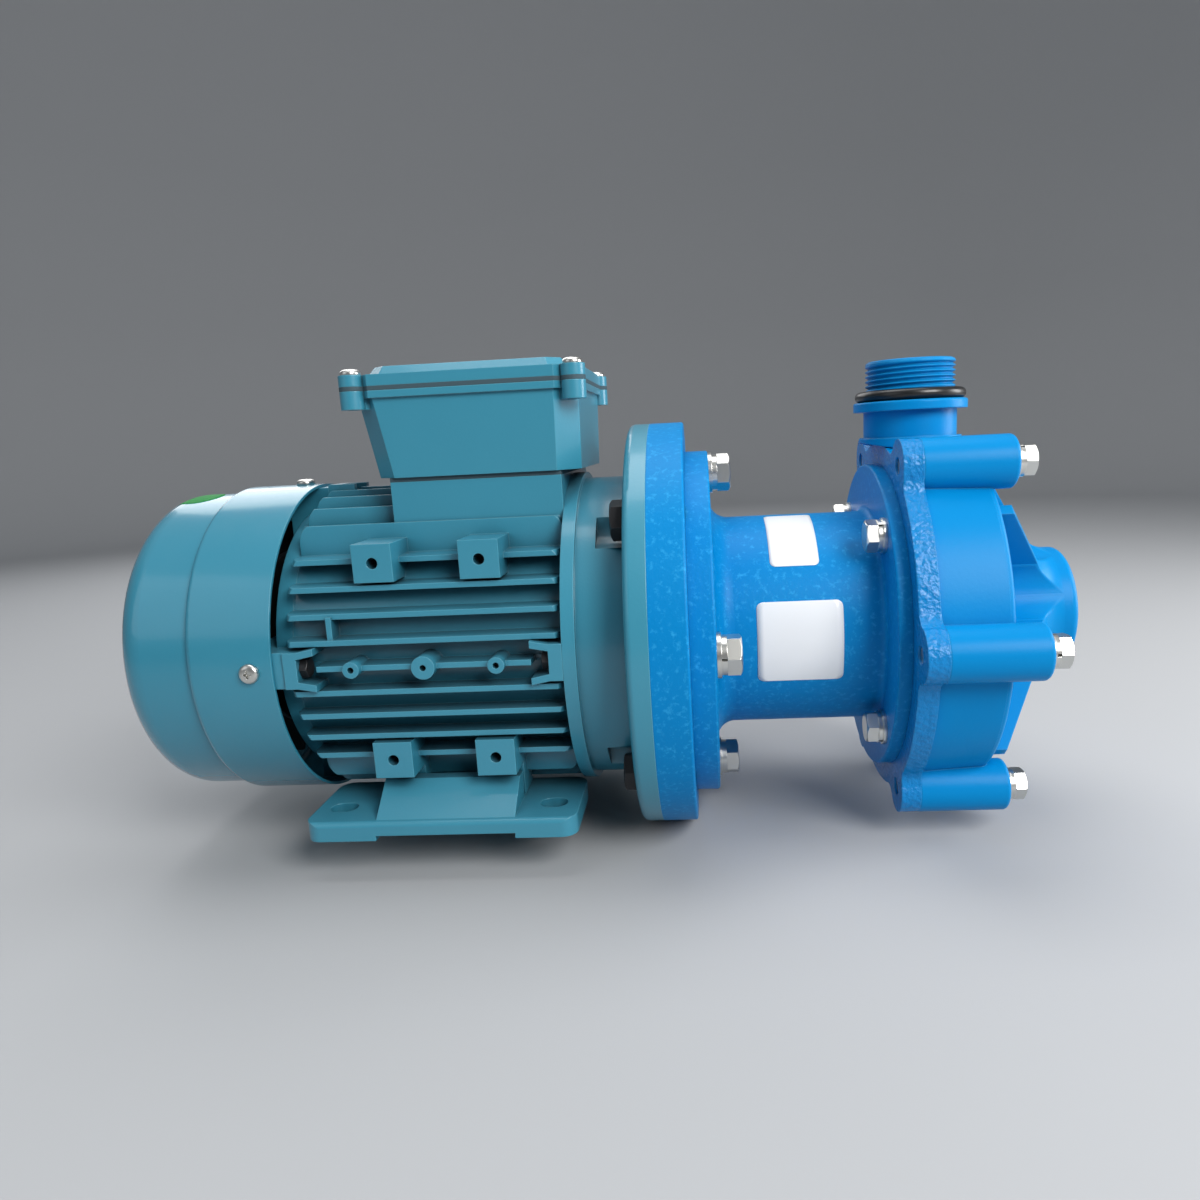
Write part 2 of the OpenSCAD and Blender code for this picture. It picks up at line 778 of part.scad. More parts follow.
// All fins, with the outer corners of their ends rounded
module fins() {
    intersection() {
        on_shaft(frame_s0) linear_extrude(frame_l) for (a = [0 : 90 : 270]) rotate(a) fin_row();
        turn() difference() {
            band(frame_s0, frame_s1, fin_tip_r + fin_tip_t / 2);
            translate([fin_tip_r + fin_tip_t / 2, frame_s1]) corner(fin_end_r);
            translate([fin_tip_r + fin_tip_t / 2, frame_s0]) mirror([0, 1]) corner(fin_end_r);
        }
    }
}

// Tie lug at one end of the frame: a block and two flared arms, reaching from Z = 0 along +Z
module tie_lug() {
    arm = (lug_w - lug_gap) / 2;
    for (side = [-1, 1]) translate([frame_bore_r + 1, 0, lug_block_l]) rotate([0, 90, 0])
        linear_extrude(lug_r - frame_bore_r - 1) polygon([
            [0, side * lug_gap / 2], [0, side * lug_w / 2], [-lug_arm_l, side * (lug_w / 2 + arm / 2)],
            [-lug_arm_l, side * (lug_gap / 2 + arm / 2)]
        ]);
    translate([frame_bore_r + 1, -lug_w / 2, 0]) cube([lug_r - frame_bore_r - 1, lug_w, lug_block_l]);
}

// Screw hole of a tie lug, with room for the head between the arms
module lug_hole() {
    translate([0, 0, -over]) cylinder(d = m5[0] + hole_fit, h = lug_block_l + 2 * over);
    translate([0, 0, lug_block_l]) cylinder(d = lug_gap, h = lug_arm_l);
}

// Pads of one side, standing along +Y from the frame wall
module pad_blocks() {
    for (x = pad_x, z = [-1, 1])
        translate([x - pad_w / 2, 0, z * pad_pitch_z / 2 - pad_h / 2]) cube([pad_w, pad_face, pad_h]);
}

// Holes of the pads of one side
module pad_holes(r) {
    for (x = pad_x, z = [-1, 1]) translate([x, pad_face + over, z * pad_pitch_z / 2])
        rotate([90, 0, 0]) cylinder(r = r, h = pad_hole_l + over);
}

// Sighting bosses of one side, standing along +Y
module sight_bosses(r_mid, r_end, from, l) {
    for (i = [-1 : 1]) translate([i * boss_pitch, from, 0]) rotate([-90, 0, 0])
        cylinder(r = i == 0 ? r_mid : r_end, h = l);
}

// Carries one side's features to the front, back or underside of the frame
module on_side(a) {
    translate([0, 0, shaft_h]) rotate([a, 0, 0]) children();
}

// Places of the screws that hold the terminal box, at the height of the foot plane
module box_screw_places() {
    for (x = [-1, 1], y = [-1, 1]) translate([neck_x + x * box_screw_x, y * box_screw_y, 0]) children();
}

// Short web that joins two fins beside the rear tie lug
module fin_web() {
    web_x = face_x + frame_s0 + lug_block_l + lug_arm_l;
    translate([web_x, 0, 0]) linear_extrude(fin_pitch) polygon([
        [0, 0], [fin_tip_t, 0], [fin_tip_t + fin_pitch / 2, fin_tip_r - 2], [fin_pitch / 2, fin_tip_r - 2]
    ]);
}

module motor_frame() {
    color(motor_teal) difference() {
        union() {
            turn() band(frame_s0, frame_s1, frame_wall_r);
            fins();
            for (side = [0, 180]) on_side(side) {
                pad_blocks();
                sight_bosses(boss_mid_r, boss_end_r, frame_wall_r - 3, boss_face - frame_wall_r + 3);
                translate([0, 0, fin_pitch * cos(side)]) mirror([0, 0, side / 180]) fin_web();
            }
            on_side(-90) pad_blocks();
            on_shaft(frame_s0) on_circle(4, 0) tie_lug();
            on_shaft(frame_s1) mirror([0, 0, 1]) on_circle(4, 0) tie_lug();
            translate([neck_x - neck_l / 2, -neck_w / 2, shaft_h + frame_bore_r / 2])
                cube([neck_l, neck_w, neck_top - frame_bore_r / 2]);
        }
        turn() band(frame_s0 - over, frame_s1 + over, frame_bore_r);
        for (side = [0, 180]) on_side(side) {
            pad_holes(pad_hole_r);
            sight_bosses(sight_hole_r, sight_hole_r, boss_face - sight_hole_l, sight_hole_l + over);
        }
        on_side(-90) pad_holes(m6_socket[0] / 2 + thread_fit);
        on_shaft(frame_s0) on_circle(4, lug_screw_r) lug_hole();
        on_shaft(frame_s1) mirror([0, 0, 1]) on_circle(4, lug_screw_r) lug_hole();
        translate([neck_x, lead_y, shaft_h]) cylinder(r = lead_r, h = neck_top + over);
        box_screw_places() translate([0, 0, shaft_h + neck_top - box_screw_grip])
            cylinder(d = box_screw[0] + 2 * thread_fit, h = box_screw_grip + over);
    }
}

module de_endshield() {
    color(motor_teal) difference() {
        turn() {
            difference() {
                band(-flange_t, 0, flange_r);
                translate([flange_r, -flange_t]) mirror([0, 1]) corner(flange_edge_r);
            }
            band(-flange_t, spigot_h, spigot_r);
            band(frame_s1, -flange_t, bell_r, bell_r - bell_wall);
            band(frame_s1, frame_s1 + rim_w, rim_r, frame_bore_r - register_wall);
            band(frame_s1 - register_l, frame_s1, frame_bore_r - seat_fit, frame_bore_r - register_wall);
            band(de_bearing_s0, -flange_t, bearing_r + hub_wall);
        }
        turn() {
            band(de_bearing_s0 - over, de_bearing_s1, bearing_r + seat_fit);
            band(de_bearing_s1 - over, spigot_h + over, seal_r + seat_fit);
        }
        on_shaft() on_circle(4, flange_bolt_r, 45) {
            translate([0, 0, -flange_t - over]) cylinder(r = flange_hole_r, h = flange_t + 2 * over);
            translate([0, 0, -flange_t - bolt_pocket_l]) cylinder(r = bolt_pocket_r, h = bolt_pocket_l);
        }
        on_shaft(frame_s1 - over) on_circle(4, lug_screw_r)
            cylinder(d = m5[0] + 2 * thread_fit, h = lug_screw_l - lug_block_l + 2 * over);
    }
}

module nde_endshield() {
    block_r = cowl_r - cowl_t - seat_fit;
    color(motor_teal) difference() {
        union() {
            turn() {
                band(frame_s0 - nde_plate_t, frame_s0, frame_wall_r);
                band(frame_s0, frame_s0 + register_l, frame_bore_r - seat_fit, frame_bore_r - register_wall);
                band(nde_s0, nde_bearing_s1, bearing_r + hub_wall);
            }
            intersection() {
                on_shaft(nde_s0) on_circle(4, 0) translate([bearing_r, -lug_w / 2, 0])
                    cube([block_r, lug_w, nde_block_l]);
                turn() band(nde_s0, frame_s0, block_r);
            }
        }
        turn() {
            band(nde_bearing_s0, frame_s0 + over, bearing_r + seat_fit);
            band(nde_s0 - over, nde_bearing_s0 + over, bearing_bore_r + bearing_end_gap);
        }
        on_shaft(cowl_screw_s) on_circle(4, block_r - cowl_screw[3]) rotate([0, 90, 0])
            cylinder(d = cowl_screw[0] + 2 * thread_fit, h = cowl_screw[3] + over);
        on_shaft(frame_s0 - lug_screw_l + lug_block_l - over) on_circle(4, lug_screw_r)
            cylinder(d = m5[0] + 2 * thread_fit, h = lug_screw_l - lug_block_l + 2 * over);
    }
}

module endshield_screws() {
    color(dark_steel) {
        on_shaft(frame_s0 + lug_block_l) on_circle(4, lug_screw_r) hex_bolt(m5, lug_screw_l);
        on_shaft(frame_s1 - lug_block_l) on_circle(4, lug_screw_r) rotate([180, 0, 0])
            hex_bolt(m5, lug_screw_l);
    }
}

// Section of the cowl's outside, moved inwards by a wall
module cowl_section(wall) {
    difference() {
        band(cowl_step_s + wall, cowl_s1 + (wall > 0 ? over : 0), cowl_r - wall);
        translate([cowl_r - wall, cowl_step_s + wall]) mirror([0, 1]) corner(cowl_r - cowl_rear_r);
    }
    difference() {
        band(cowl_s0 + wall, cowl_step_s + 2 * wall, cowl_rear_r - wall);
        translate([cowl_rear_r - wall, cowl_s0 + wall]) mirror([0, 1]) corner(cowl_corner_r - wall);
    }
}

module fan_cowl() {
    vent_r0 = cowl_rear_r - cowl_corner_r - vent_rings * vent_pitch;
    color(motor_teal) difference() {
        turn() difference() {
            cowl_section(0);
            cowl_section(cowl_t);
        }
        on_shaft(cowl_s0 - over) difference() {
            rotate_extrude() for (i = [0 : vent_rings - 1])
                translate([vent_r0 + i * vent_pitch, 0]) square([vent_w, cowl_t + 2 * over]);
            on_circle(vent_spokes, 0) translate([0, -vent_spoke_w / 2, -over])
                cube([cowl_rear_r, vent_spoke_w, cowl_t + 4 * over]);
        }
        on_shaft(cowl_screw_s) on_circle(4, cowl_r - 2 * cowl_t) rotate([0, 90, 0])
            cylinder(d = cowl_screw[0] + hole_fit, h = 3 * cowl_t);
    }
}

module cowl_screws() {
    color(stainless) on_shaft(cowl_screw_s) on_circle(4, cowl_r) rotate([0, 90, 0])
        pan_screw(cowl_screw, cowl_screw[3]);
}

module cooling_fan() {
    root_r = fan_hub_r - 1;
    under = fan_blade_w - fan_plate_t - over;
    inside = fan_plate_r - root_r - 2;
    seat = fan_blade_w - fan_plate_t / 2;
    color(black_plastic) difference() {
        union() {
            turn() {
                band(fan_s0, fan_s1, fan_hub_r);
                band(fan_s1 - fan_plate_t, fan_s1, fan_plate_r);
            }
            on_shaft(fan_s0) on_circle(fan_blades, root_r) rotate([90, 0, 0])
                translate([0, 0, -fan_blade_t / 2]) linear_extrude(fan_blade_t) polygon([
                    [0, over], [fan_r - root_r, over], [fan_r - root_r, fan_tip_w], [inside + 4, under],
                    [inside, under], [inside, seat], [0, seat]
                ]);
        }
        turn() band(fan_s0 - over, fan_s1 + over, fan_shaft_r + seat_fit);
    }
}

// Slots of the stator, with the winding's clearance taken off each wall
module stator_slots(liner) {
    for (i = [0 : stator_slots - 1]) rotate(i * 360 / stator_slots)
        translate([stator_bore_r + tooth_tip + liner, -slot_w / 2 + liner])
            square([slot_d - 2 * liner, slot_w - 2 * liner]);
}

module stator_core() {
    color(bare_steel) on_shaft(core_s0) linear_extrude(core_l) difference() {
        circle(stator_r);
        circle(stator_bore_r);
        stator_slots(0);
        for (i = [0 : stator_slots - 1]) rotate(i * 360 / stator_slots)
            translate([stator_bore_r - 1, -slot_mouth / 2]) square([tooth_tip + 2, slot_mouth]);
    }
}

module stator_winding() {
    color(copper) {
        on_shaft(core_s0 - 1) linear_extrude(core_l + 2) stator_slots(slot_liner);
        turn() {
            band(core_s0 - winding_l, core_s0 - slot_liner, winding_r, winding_in_r);
            band(core_s1 + slot_liner, core_s1 + winding_l, winding_r, winding_in_r);
        }
    }
}

module rotor_core() {
    color(bare_steel) turn() band(core_s0, core_s1, rotor_r, shaft_core_r + seat_fit);
}

module rotor_end_rings() {
    color(aluminium) turn() {
        band(core_s0 - end_ring_l, core_s0, rotor_r - 1, end_ring_in_r);
        band(core_s1, core_s1 + end_ring_l, rotor_r - 1, end_ring_in_r);
    }
}

module motor_shaft() {
    color(bare_steel) difference() {
        turn() {
            band(shaft_s0, nde_bearing_s0, fan_shaft_r);
            band(nde_bearing_s0, nde_bearing_s1, bearing_bore_r);
            band(nde_bearing_s1, de_bearing_s0, shaft_core_r);
            band(de_bearing_s0, -shaft_step, bearing_bore_r);
            band(-shaft_step, shaft_ext_l - shaft_chamfer, shaft_r);
            polygon([
                [0, shaft_ext_l - shaft_chamfer], [shaft_r, shaft_ext_l - shaft_chamfer],
                [shaft_r - shaft_chamfer, shaft_ext_l], [0, shaft_ext_l]
            ]);
        }
        translate([face_x + key_s0, -key_w / 2, shaft_h + shaft_r - key_depth]) cube([key_l, key_w, shaft_r]);
    }
}

// Carries children to both bearings, with their Z axis along the shaft
module on_bearings() {
    for (s = [nde_bearing_s0, de_bearing_s0]) on_shaft(s) children();
}

module bearing_outer_rings() {
    color(bare_steel) on_bearings() rotate_extrude() difference() {
        translate([ball_circle_r + race_gap, 0]) square([bearing_r - ball_circle_r - race_gap, bearing_w]);
        translate([ball_circle_r, bearing_w / 2]) circle(ball_r + rolling_fit);
    }
}

module bearing_inner_rings() {
    color(bare_steel) on_bearings() rotate_extrude() difference() {
        translate([bearing_bore_r + seat_fit, 0])
            square([ball_circle_r - race_gap - bearing_bore_r - seat_fit, bearing_w]);
        translate([ball_circle_r, bearing_w / 2]) circle(ball_r + rolling_fit);
    }
}

module bearing_balls() {
    color(stainless) on_bearings() on_circle(ball_count, ball_circle_r) translate([0, 0, bearing_w / 2])
        sphere(ball_r);
}

module bearing_cages() {
    color(brass) on_bearings() translate([0, 0, (bearing_w - cage_w) / 2]) difference() {
        rotate_extrude() translate([ball_circle_r - cage_half_t, 0]) square([2 * cage_half_t, cage_w]);
        on_circle(ball_count, ball_circle_r - 2 * cage_half_t) translate([0, 0, cage_w / 2])
            rotate([0, 90, 0]) cylinder(r = ball_r + rolling_fit, h = 4 * cage_half_t);
    }
}

module shaft_seal() {
    seal_s1 = -shaft_step - 1;
    color(black_rubber) turn() band(seal_s1 - seal_w, seal_s1, seal_r, bearing_bore_r + running_fit);
}

module shaft_key() {
    seat = [face_x + key_s0, -key_w / 2, shaft_h + shaft_r - key_depth];
    color(bare_steel) translate(seat + [seat_fit, seat_fit, 0])
        cube([key_l - 2 * seat_fit, key_w - 2 * seat_fit, key_w]);
}

// Foot on the far side of the shaft plane
module foot() {
    mid_y = (foot_half_w + foot_in_y) / 2;
    shoulder_x = pad_shift - shoulder_l / 2;
    difference() {
        union() {
            intersection() {
                translate([0, mid_y, 0]) linear_extrude(foot_t)
                    rounded(foot_l, foot_half_w - foot_in_y, foot_corner_r);
                translate([-foot_l / 2, 0, 0]) rotate([90, 0, 90]) linear_extrude(foot_l) difference() {
                    square([foot_half_w, foot_t]);
                    translate([foot_half_w, foot_t]) corner(foot_edge_r);
                }
            }
            translate([shoulder_x, 0, 0]) rotate([90, 0, 90]) linear_extrude(shoulder_l) polygon([
                [foot_in_y, 1], [foot_half_w - foot_edge_r, 1], [foot_half_w - foot_edge_r, foot_t],
                [shoulder_y, shoulder_h], [shoulder_in_y, shoulder_h], [shoulder_in_y, foot_seat_z],
                [foot_in_y, foot_seat_z]
            ]);
        }
        translate([shoulder_x, 0, -over]) cube([shoulder_l, 2 * foot_half_w, foot_relief + over]);
        for (x = [-1, 1]) translate([x * foot_pitch_x / 2, foot_pitch_y / 2, -over]) {
            for (e = [-1, 1]) translate([e * (foot_slot_l - foot_slot_w) / 2, 0, 0])
                cylinder(d = foot_slot_w, h = foot_t + 2 * over);
            translate([-(foot_slot_l - foot_slot_w) / 2, -foot_slot_w / 2, 0])
                cube([foot_slot_l - foot_slot_w, foot_slot_w, foot_t + 2 * over]);
        }
        for (x = pad_x) translate([x, pad_pitch_z / 2, -over]) {
            cylinder(d = m6_socket[0] + hole_fit, h = foot_seat_z + 2 * over);
            cylinder(d = m6_socket[1] + hole_fit, h = foot_seat_z - foot_bolt_grip + over);
        }
    }
}

module front_foot() {
    color(motor_teal) mirror([0, 1, 0]) foot();
}

module back_foot() {
    color(motor_teal) foot();
}

module foot_bolts() {
    color(dark_steel) for (x = pad_x, side = [-1, 1])
        translate([x, side * pad_pitch_z / 2, foot_seat_z - foot_bolt_grip]) {
            translate([0, 0, -m6_socket[2]]) cylinder(d = m6_socket[1], h = m6_socket[2]);
            cylinder(d = m6_socket[0], h = foot_bolt_l);
        }
}

// Terminal box

// Hollow or solid of the box, moved inwards by a wall
module box_form(wall) {
    hull() {
        translate([box_bottom_x, 0, wall]) linear_extrude(1)
            chamfered(box_bottom_l - 2 * wall, box_w - 2 * box_taper_side - 2 * wall, box_chamfer - wall / 2);
        translate([0, 0, box_h - 1 + (wall > 0 ? over : 0)]) linear_extrude(1)
            chamfered(box_l - 2 * wall, box_w - 2 * wall, box_chamfer - wall / 2);
    }
}

// Carries children to the middle of the box's underside
module on_box(z = box_z) {
    translate([box_x, 0, z]) children();
}

// Outline of the band and the lid, without their lugs
module rim_outline(out) {
    chamfered(box_l + 2 * out, box_w + 2 * out, box_chamfer + out / 2);
}

// Places of the lid screws, with +X pointing out of the box
module lid_places() {
    for (x = [-1, 1], y = [-1, 1])
        translate([x * lid_pitch_x / 2, y * lid_pitch_y / 2, 0]) rotate(atan2(y, x)) children();
}

// Outlines of the corner lugs and the webs that join them to the rim
module lug_outlines() {
    lid_places() {
        circle(box_lug_r);
        translate([-box_chamfer, -lug_web / 2]) square([box_chamfer, lug_web]);
    }
}

module box_gasket() {
    color(grey_gasket) translate([0, 0, shaft_h + neck_top]) linear_extrude(gasket_t) difference() {
        translate([neck_x, 0]) square([neck_l, neck_w], center = true);
        translate([neck_x, lead_y]) circle(lead_r);
        box_screw_places() circle(d = box_screw[0] + hole_fit);
    }
}

module terminal_box() {
    color(motor_teal) difference() {
        union() {
            on_box() {
                box_form(0);
                translate([0, 0, box_h - band_h]) linear_extrude(band_h) rim_outline(band_out);
                translate([0, 0, box_h - box_lug_h]) linear_extrude(box_lug_h) lug_outlines();
            }
            translate([box_x, 0, gland_z]) rotate([-90, 0, 0]) cylinder(r = gland_boss_r, h = gland_y);
        }
        on_box() {
            box_form(box_wall);
            translate([0, 0, box_h - box_lug_h - over]) lid_places()
                cylinder(d = box_screw[0] + 2 * thread_fit, h = box_lug_h + 2 * over);
        }
        translate([box_x, 0, gland_z]) rotate([-90, 0, 0]) cylinder(r = gland_r, h = gland_y + over);
        translate([neck_x, lead_y, box_z - over]) cylinder(r = lead_r, h = box_wall + 2 * over);
        box_screw_places() translate([0, 0, box_z - over])
            cylinder(d = box_screw[0] + hole_fit, h = box_wall + 2 * over);
    }
}

module box_screws() {
    color(bare_steel) box_screw_places() translate([0, 0, box_z + box_wall])
        pan_screw(box_screw, box_wall + gasket_t + box_screw_grip - screw_end);
}

// Places of the terminal studs on the board
module stud_places() {
    top = [neck_x, board_y, box_z + box_wall + board_size[2]];
    for (x = [-1 : 1], y = [-1, 1]) translate(top + [x * stud_pitch[0], y * stud_pitch[1] / 2, 0]) children();
}

module terminal_board() {
    color(black_plastic) difference() {
        translate([neck_x - board_size[0] / 2, board_y - board_size[1] / 2, box_z + box_wall])
            cube(board_size);
        stud_places() translate([0, 0, -board_size[2] - over])
            cylinder(r = stud_r + thread_fit, h = board_size[2] + 2 * over);
    }
}

module terminal_studs() {
    color(brass) stud_places() {
        translate([0, 0, -board_size[2]]) cylinder(r = stud_r, h = board_size[2] + stud_h);
        cylinder(d = stud_nut[0] / cos(30), h = stud_nut[1], $fn = 6);
    }
}

module lid_gasket() {
    color(grey_gasket) on_box(rim_z) linear_extrude(gasket_t) difference() {
        union() {
            rim_outline(band_out);
            lug_outlines();
        }
        chamfered(box_l - 2 * box_wall, box_w - 2 * box_wall, box_chamfer - box_wall / 2);
        lid_places() circle(d = box_screw[0] + hole_fit);
    }
}

module terminal_lid() {
    color(motor_teal) on_box(lid_z) difference() {
        union() {
            linear_extrude(lid_t) {
                rim_outline(band_out);
                lug_outlines();
            }
            hull() {
                translate([0, 0, lid_t - 1]) linear_extrude(1) rim_outline(-lid_step);
                translate([0, 0, lid_t + lid_rise - 1]) linear_extrude(1)
                    rim_outline(1 - lid_step - lid_rise);
            }
        }
        translate([0, 0, -over]) linear_extrude(lid_t + lid_rise - box_wall + over)
            rim_outline(-lid_step - lid_rise - box_wall);
        lid_places() translate([0, 0, -over]) cylinder(d = box_screw[0] + hole_fit, h = lid_t + 2 * over);
    }
}

module lid_screws() {
    color(stainless) on_box(lid_z + lid_t) lid_places()
        pan_screw(box_screw, lid_t + gasket_t + box_lug_h - screw_end);
}

module gland_body() {
    color(black_plastic) translate([box_x, gland_y, gland_z]) rotate([-90, 0, 0]) difference() {
        union() {
            cylinder(d = gland_hex[0] / cos(30), h = gland_hex[1], $fn = 6);
            translate([0, 0, -gland_tail])
                cylinder(r = gland_r - thread_fit, h = gland_tail + gland_hex[1] + gland_stub);
        }
        translate([0, 0, -gland_tail - over])
            cylinder(r = gland_hole_r, h = gland_tail + gland_hex[1] + gland_stub + 2 * over);
    }
}

module gland_nut() {
    nut_y = gland_y + gland_hex[1];
    color(black_plastic) translate([box_x, nut_y, gland_z]) rotate([-90, 0, 0])
        rotate_extrude() difference() {
        square([gland_nut_size[0], gland_nut_size[1]]);
        translate([gland_nut_size[0], gland_nut_size[1]]) corner(gland_nut_size[0] / 2);
        translate([0, -over]) square([gland_r, gland_stub + seat_fit + over]);
        square([gland_hole_r, gland_nut_size[1] + over]);
    }
}

// Pump casing

module adapter_plate() {
    color(pump_blue) difference() {
        turn() difference() {
            band(0, plate_t, flange_r, plate_bore_r);
            band(-over, spigot_h + seat_fit, spigot_r + seat_fit);
            band(plate_t - register_h - seat_fit, plate_t + over, mount_register_r + seat_fit);
            translate([flange_r, plate_t]) corner(plate_edge);
        }
        on_shaft(-over) on_circle(4, flange_bolt_r, 45)
            cylinder(d = m10[0] + 2 * thread_fit, h = plate_t + 2 * over);
        on_shaft(mount_s1 - adapter_bolt_l - over) on_circle(4, mount_bolt_r)
            cylinder(d = m10[0] + 2 * thread_fit, h = plate_t);
    }
}

module flange_bolts() {
    color(dark_steel) on_shaft(-flange_t) on_circle(4, flange_bolt_r, 45) rotate([180, 0, 0])
        hex_bolt(m10, flange_bolt_l);
}

module motor_adapter() {
    color(pump_blue) difference() {
        turn() difference() {
            union() {
                difference() {
                    band(plate_t, mount_s1, mount_flange_r);
                    translate([mount_flange_r, mount_s1]) corner(plate_edge);
                }
                band(plate_t - register_h, mount_s1, mount_register_r);
                band(plate_t, ring_s0, barrel_r);
                translate([barrel_r, mount_s1]) fillet(barrel_fillet);
                translate([barrel_r, ring_s0 - disc_t]) mirror([0, 1]) fillet(disc_fillet);
                difference() {
                    band(ring_s0 - disc_t, ring_s0, disc_r);
                    translate([disc_r, ring_s0 - disc_t]) mirror([0, 1]) corner(plate_edge);
                }
                band(plate_t, ring_s0 + register_h - 1, disc_register_r);
            }
            band(plate_t - register_h - over, ring_s0 + register_h, barrel_in_r);
        }
        on_shaft(plate_t - over) on_circle(4, mount_bolt_r)
            cylinder(d = m10[0] + 2 * hole_fit, h = mount_flange_t + 2 * over);
        on_shaft(ring_s0 - disc_t - over) on_circle(4, disc_bolt_r, 45)
            cylinder(d = m8[0] + 2 * hole_fit, h = disc_t + 2 * over);
    }
}

module adapter_washers() {
    color(stainless) on_shaft(mount_s1) on_circle(4, mount_bolt_r) washer(m10_washer, m10[0]);
}

module adapter_spring_washers() {
    color(stainless) on_shaft(mount_s1 + m10_washer[1]) on_circle(4, mount_bolt_r)
        spring_washer(m10_spring, m10[0]);
}

module adapter_bolts() {
    stack = m10_washer[1] + m10_spring[1];
    color(stainless) on_shaft(mount_s1 + stack) on_circle(4, mount_bolt_r)
        hex_bolt(m10, adapter_bolt_l + stack - over);
}

// Outline of a round body with ears, each ear run into the round by two fillets
module eared_outline(r, tip_r) {
    a = r + ear_fillet;
    b = tip_r + ear_fillet;
    swing = acos((a * a + ear_bolt_r * ear_bolt_r - b * b) / (2 * a * ear_bolt_r));
    pivot = a * [cos(swing), sin(swing)];
    difference() {
        union() {
            circle(r);
            on_circle(ear_count, 0, ear_start) {
                translate([ear_bolt_r, 0]) circle(tip_r);
                polygon([[0, 0], [pivot[0], -pivot[1]], [ear_bolt_r, 0], pivot]);
            }
        }
        on_circle(ear_count, 0, ear_start) for (side = [-1, 1])
            translate([pivot[0], side * pivot[1]]) circle(ear_fillet + tangent_lap);
    }
}

// Tapped hole through the clamp ring
module tapped_hole() {
    cylinder(d = m8[0] + 2 * thread_fit, h = ring_t + 2 * over);
}

module clamp_ring() {
    color(pump_blue) difference() {
        on_shaft(ring_s0) linear_extrude(ring_t) eared_outline(ring_r, ear_r);
        turn() {
            band(ring_s0 - over, ring_s1 + over, ring_bore_r);
            band(ring_s0 - over, ring_s1 - barrier_t - ring_web, disc_register_r + seat_fit);
            band(ring_s1 - barrier_t - seat_fit, ring_s1 + over, barrier_r + seat_fit);
        }
        on_shaft(ring_s0 - over) {
            on_circle(4, disc_bolt_r, 45) tapped_hole();
            on_circle(ear_count, ear_bolt_r, ear_start) tapped_hole();
        }
    }
}

// Carries children to the disc's bolts, with Z towards the heads
module on_disc_bolts(z = 0) {
    on_shaft(ring_s0 - disc_t - z) on_circle(4, disc_bolt_r, 45) rotate([180, 0, 0]) children();
}

// Carries children to the housing's bolts, with Z towards the heads
module on_housing_bolts(z = 0) {
    on_shaft(boss_s1 + z) on_circle(ear_count, ear_bolt_r, ear_start) children();
}

module disc_bolts() {
    stack = m8_washer[1] + m8_spring[1];
    color(stainless) on_disc_bolts(stack) hex_bolt(m8, disc_bolt_l + stack);
}

module housing_bolts() {
    stack = m8_washer[1] + m8_spring[1];
    color(stainless) on_housing_bolts(stack) hex_bolt(m8, housing_bolt_l + stack);
}

module small_washers() {
    color(stainless) {
        on_disc_bolts() washer(m8_washer, m8[0]);
        on_housing_bolts() washer(m8_washer, m8[0]);
    }
}

module small_spring_washers() {
    color(stainless) {
        on_disc_bolts(m8_washer[1]) spring_washer(m8_spring, m8[0]);
        on_housing_bolts(m8_washer[1]) spring_washer(m8_spring, m8[0]);
    }
}

// Front rib between the drum's edge and the suction hub
module front_rib() {
    rotate([90, 0, 0]) translate([0, 0, -rib_t / 2]) linear_extrude(rib_t) polygon([
        [rib_in_r, drum_s1 - rib_root], [rib_foot_r, drum_s1 - rib_root], [rib_foot_r, drum_s1 + rib_foot_h],
        [suction_r, suction_s1 - rib_back], [rib_in_r, suction_s1 - rib_back]
    ]);
}

// Discharge nozzle about its own upright axis, clear of the clamp ring
module nozzle() {
    difference() {
        translate([nozzle_x, 0, 0]) rotate_extrude() {
            translate([0, shaft_h + scroll_r]) square([neck_r, nozzle_flange_z - scroll_r]);
            translate([0, shaft_h + scroll_r]) square([collar_r, collar_z + collar_h - scroll_r]);
            difference() {
                translate([0, shaft_h + nozzle_flange_z]) square([nozzle_flange_r, nozzle_flange_t]);
                translate([nozzle_flange_r, nozzle_face_z]) corner(plate_edge);
            }
            translate([0, nozzle_face_z - over]) square([oring_seat_r, thread_l]);
            translate([0, thread_z]) square([thread_r, nozzle_top_z - thread_chamfer - thread_z]);
            polygon([
                [0, nozzle_top_z - thread_chamfer], [thread_r, nozzle_top_z - thread_chamfer],
                [thread_r - thread_chamfer, nozzle_top_z], [0, nozzle_top_z]
            ]);
        }
        turn() band(0, ring_s1, collar_z);
    }
}

